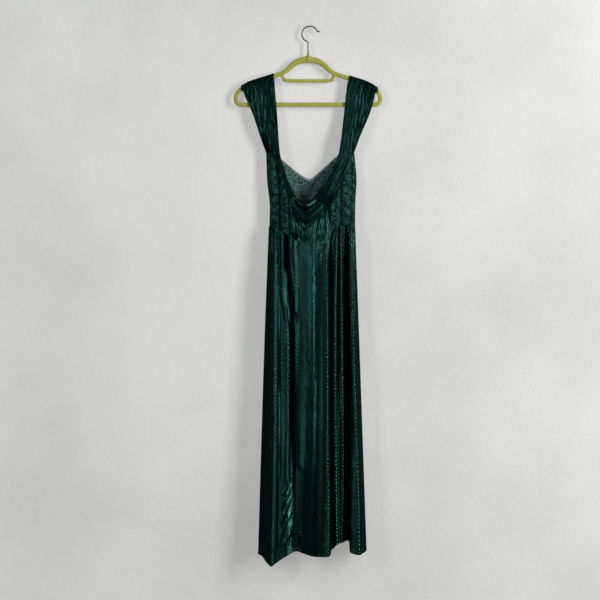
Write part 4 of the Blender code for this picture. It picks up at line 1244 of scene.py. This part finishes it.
def studio():
    scene = bpy.context.scene
    data = bpy.data.cameras.new("camera")
    data.sensor_width = SENSOR
    data.lens = SENSOR * CAMERA_FAR / PICTURE_WIDTH
    camera = linked("camera", data)
    camera.location = (CAMERA_X, -CAMERA_FAR, CAMERA_Z)
    camera.rotation_euler = (math.pi / 2, 0, 0)
    scene.camera = camera

    scene.view_settings.view_transform = "Standard"
    wall = plaster("backdrop_plaster", (0.54, 0.545, 0.53), PLASTER_GLOW)
    floor = plaster("floor_plaster", (0.54, 0.545, 0.54), PLASTER_GLOW)
    foot, head = (WALL_AT_HANGER - WALL_LEAN * z for z in (FLOOR_Z, WALL_TOP_Z))
    stage_plane("backdrop", (foot, FLOOR_Z), (head, WALL_TOP_Z), wall)
    stage_plane("floor", (STAGE_NEAR, FLOOR_Z), (foot, FLOOR_Z), floor)
    for lamp in LAMPS:
        area_light(*lamp)

    world = bpy.data.worlds.new("studio")
    scene.world = world
    world.use_nodes = True
    nodes, links = world.node_tree.nodes, world.node_tree.links
    dim, pale = nodes["Background"], nodes.new("ShaderNodeBackground")
    for background, strength in ((dim, WORLD_AS_LIGHT), (pale, WORLD_SEEN)):
        background.inputs["Color"].default_value = WORLD_COLOUR
        background.inputs["Strength"].default_value = strength
    seen = nodes.new("ShaderNodeMixShader")
    links.new(nodes.new("ShaderNodeLightPath").outputs["Is Camera Ray"], seen.inputs[0])
    links.new(dim.outputs[0], seen.inputs[1])
    links.new(pale.outputs[0], seen.inputs[2])
    links.new(seen.outputs[0], nodes["World Output"].inputs["Surface"])


# What each piece was cut to, in metres and square metres, and what holds it up.
Sheet = namedtuple("Sheet", "node flat area held rests_on")
SIDES_FRONT = ("side_front_left", "side_front_right")
SHEETS = (
    Sheet("strap_left", (0.100, 0.640), 0.040, "draped", ("hanger_body",)),
    Sheet("strap_right", (0.100, 0.640), 0.045, "draped", ("hanger_body",)),
    Sheet("cowl", (0.206, 0.122), 0.0087, "hung", ("strap_left", "strap_right")),
    Sheet("midriff_front", (0.163, 0.100), 0.0134, "gathered", SIDES_FRONT),
    Sheet("side_front_left", (0.087, 0.264), 0.0150, "hung", ("strap_left",)),
    Sheet("side_front_right", (0.098, 0.261), 0.0134, "hung", ("strap_right",)),
    Sheet("bodice_back", (0.324, 0.222), 0.0535, "hung", ("strap_left", "strap_right")),
    Sheet("skirt_front", (0.531, 0.982), 0.446, "gathered", ("midriff_front", *SIDES_FRONT)),
    Sheet("skirt_back", (0.428, 0.982), 0.353, "gathered", ("bodice_back",)),
)


def dress():
    ribbed = satin("satin_ribbed", 1.75, 0, 0.27, 0.68)
    pleated = satin("satin_pleated", 0, 0.3, 0.33, 0.23)
    laced = lace_over_satin("lace_over_satin")
    made = {
        "strap_left": strap("strap_left_pleated", LEFT_STRAP, pleated),
        "strap_right": strap("strap_right_pleated", RIGHT_STRAP, pleated),
        "cowl": cowl(satin("satin_draped", 0, 0.3, 0.31, 0.6)),
        "midriff_front": midriff(satin("satin_gathered", 0, 0.12, 0.26, 0.52)),
        "side_front_left": side_panel("side_left_lace", LEFT_PANEL_SEAM, -1, LEFT_PANEL_CREASES, laced),
        "side_front_right": side_panel("side_right_lace", RIGHT_PANEL_SEAM, 1, RIGHT_PANEL_CREASES, laced),
        "bodice_back": lace_back(sheer_lace("lace_sheer")),
        "back_neck_binding": binding(satin("satin_binding", 0, 0.2, 0.5, 0.03)),
        "skirt_front": skirt("skirt_front_ribbed", SKIRT_FRONT, ribbed),
        "skirt_back": skirt("skirt_back_ribbed", SKIRT_BACK, ribbed),
        "hanger_body": hanger_body(flock("olive_flock")),
        "hanger_hook": hook(bronze("bronze_wire")),
    }
    for node, piece in made.items():
        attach(piece, "root")
        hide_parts(node)
    for sheet in SHEETS:
        piece = made[sheet.node]


clear_stage()
studio()
dress()
bpy.context.view_layer.update()
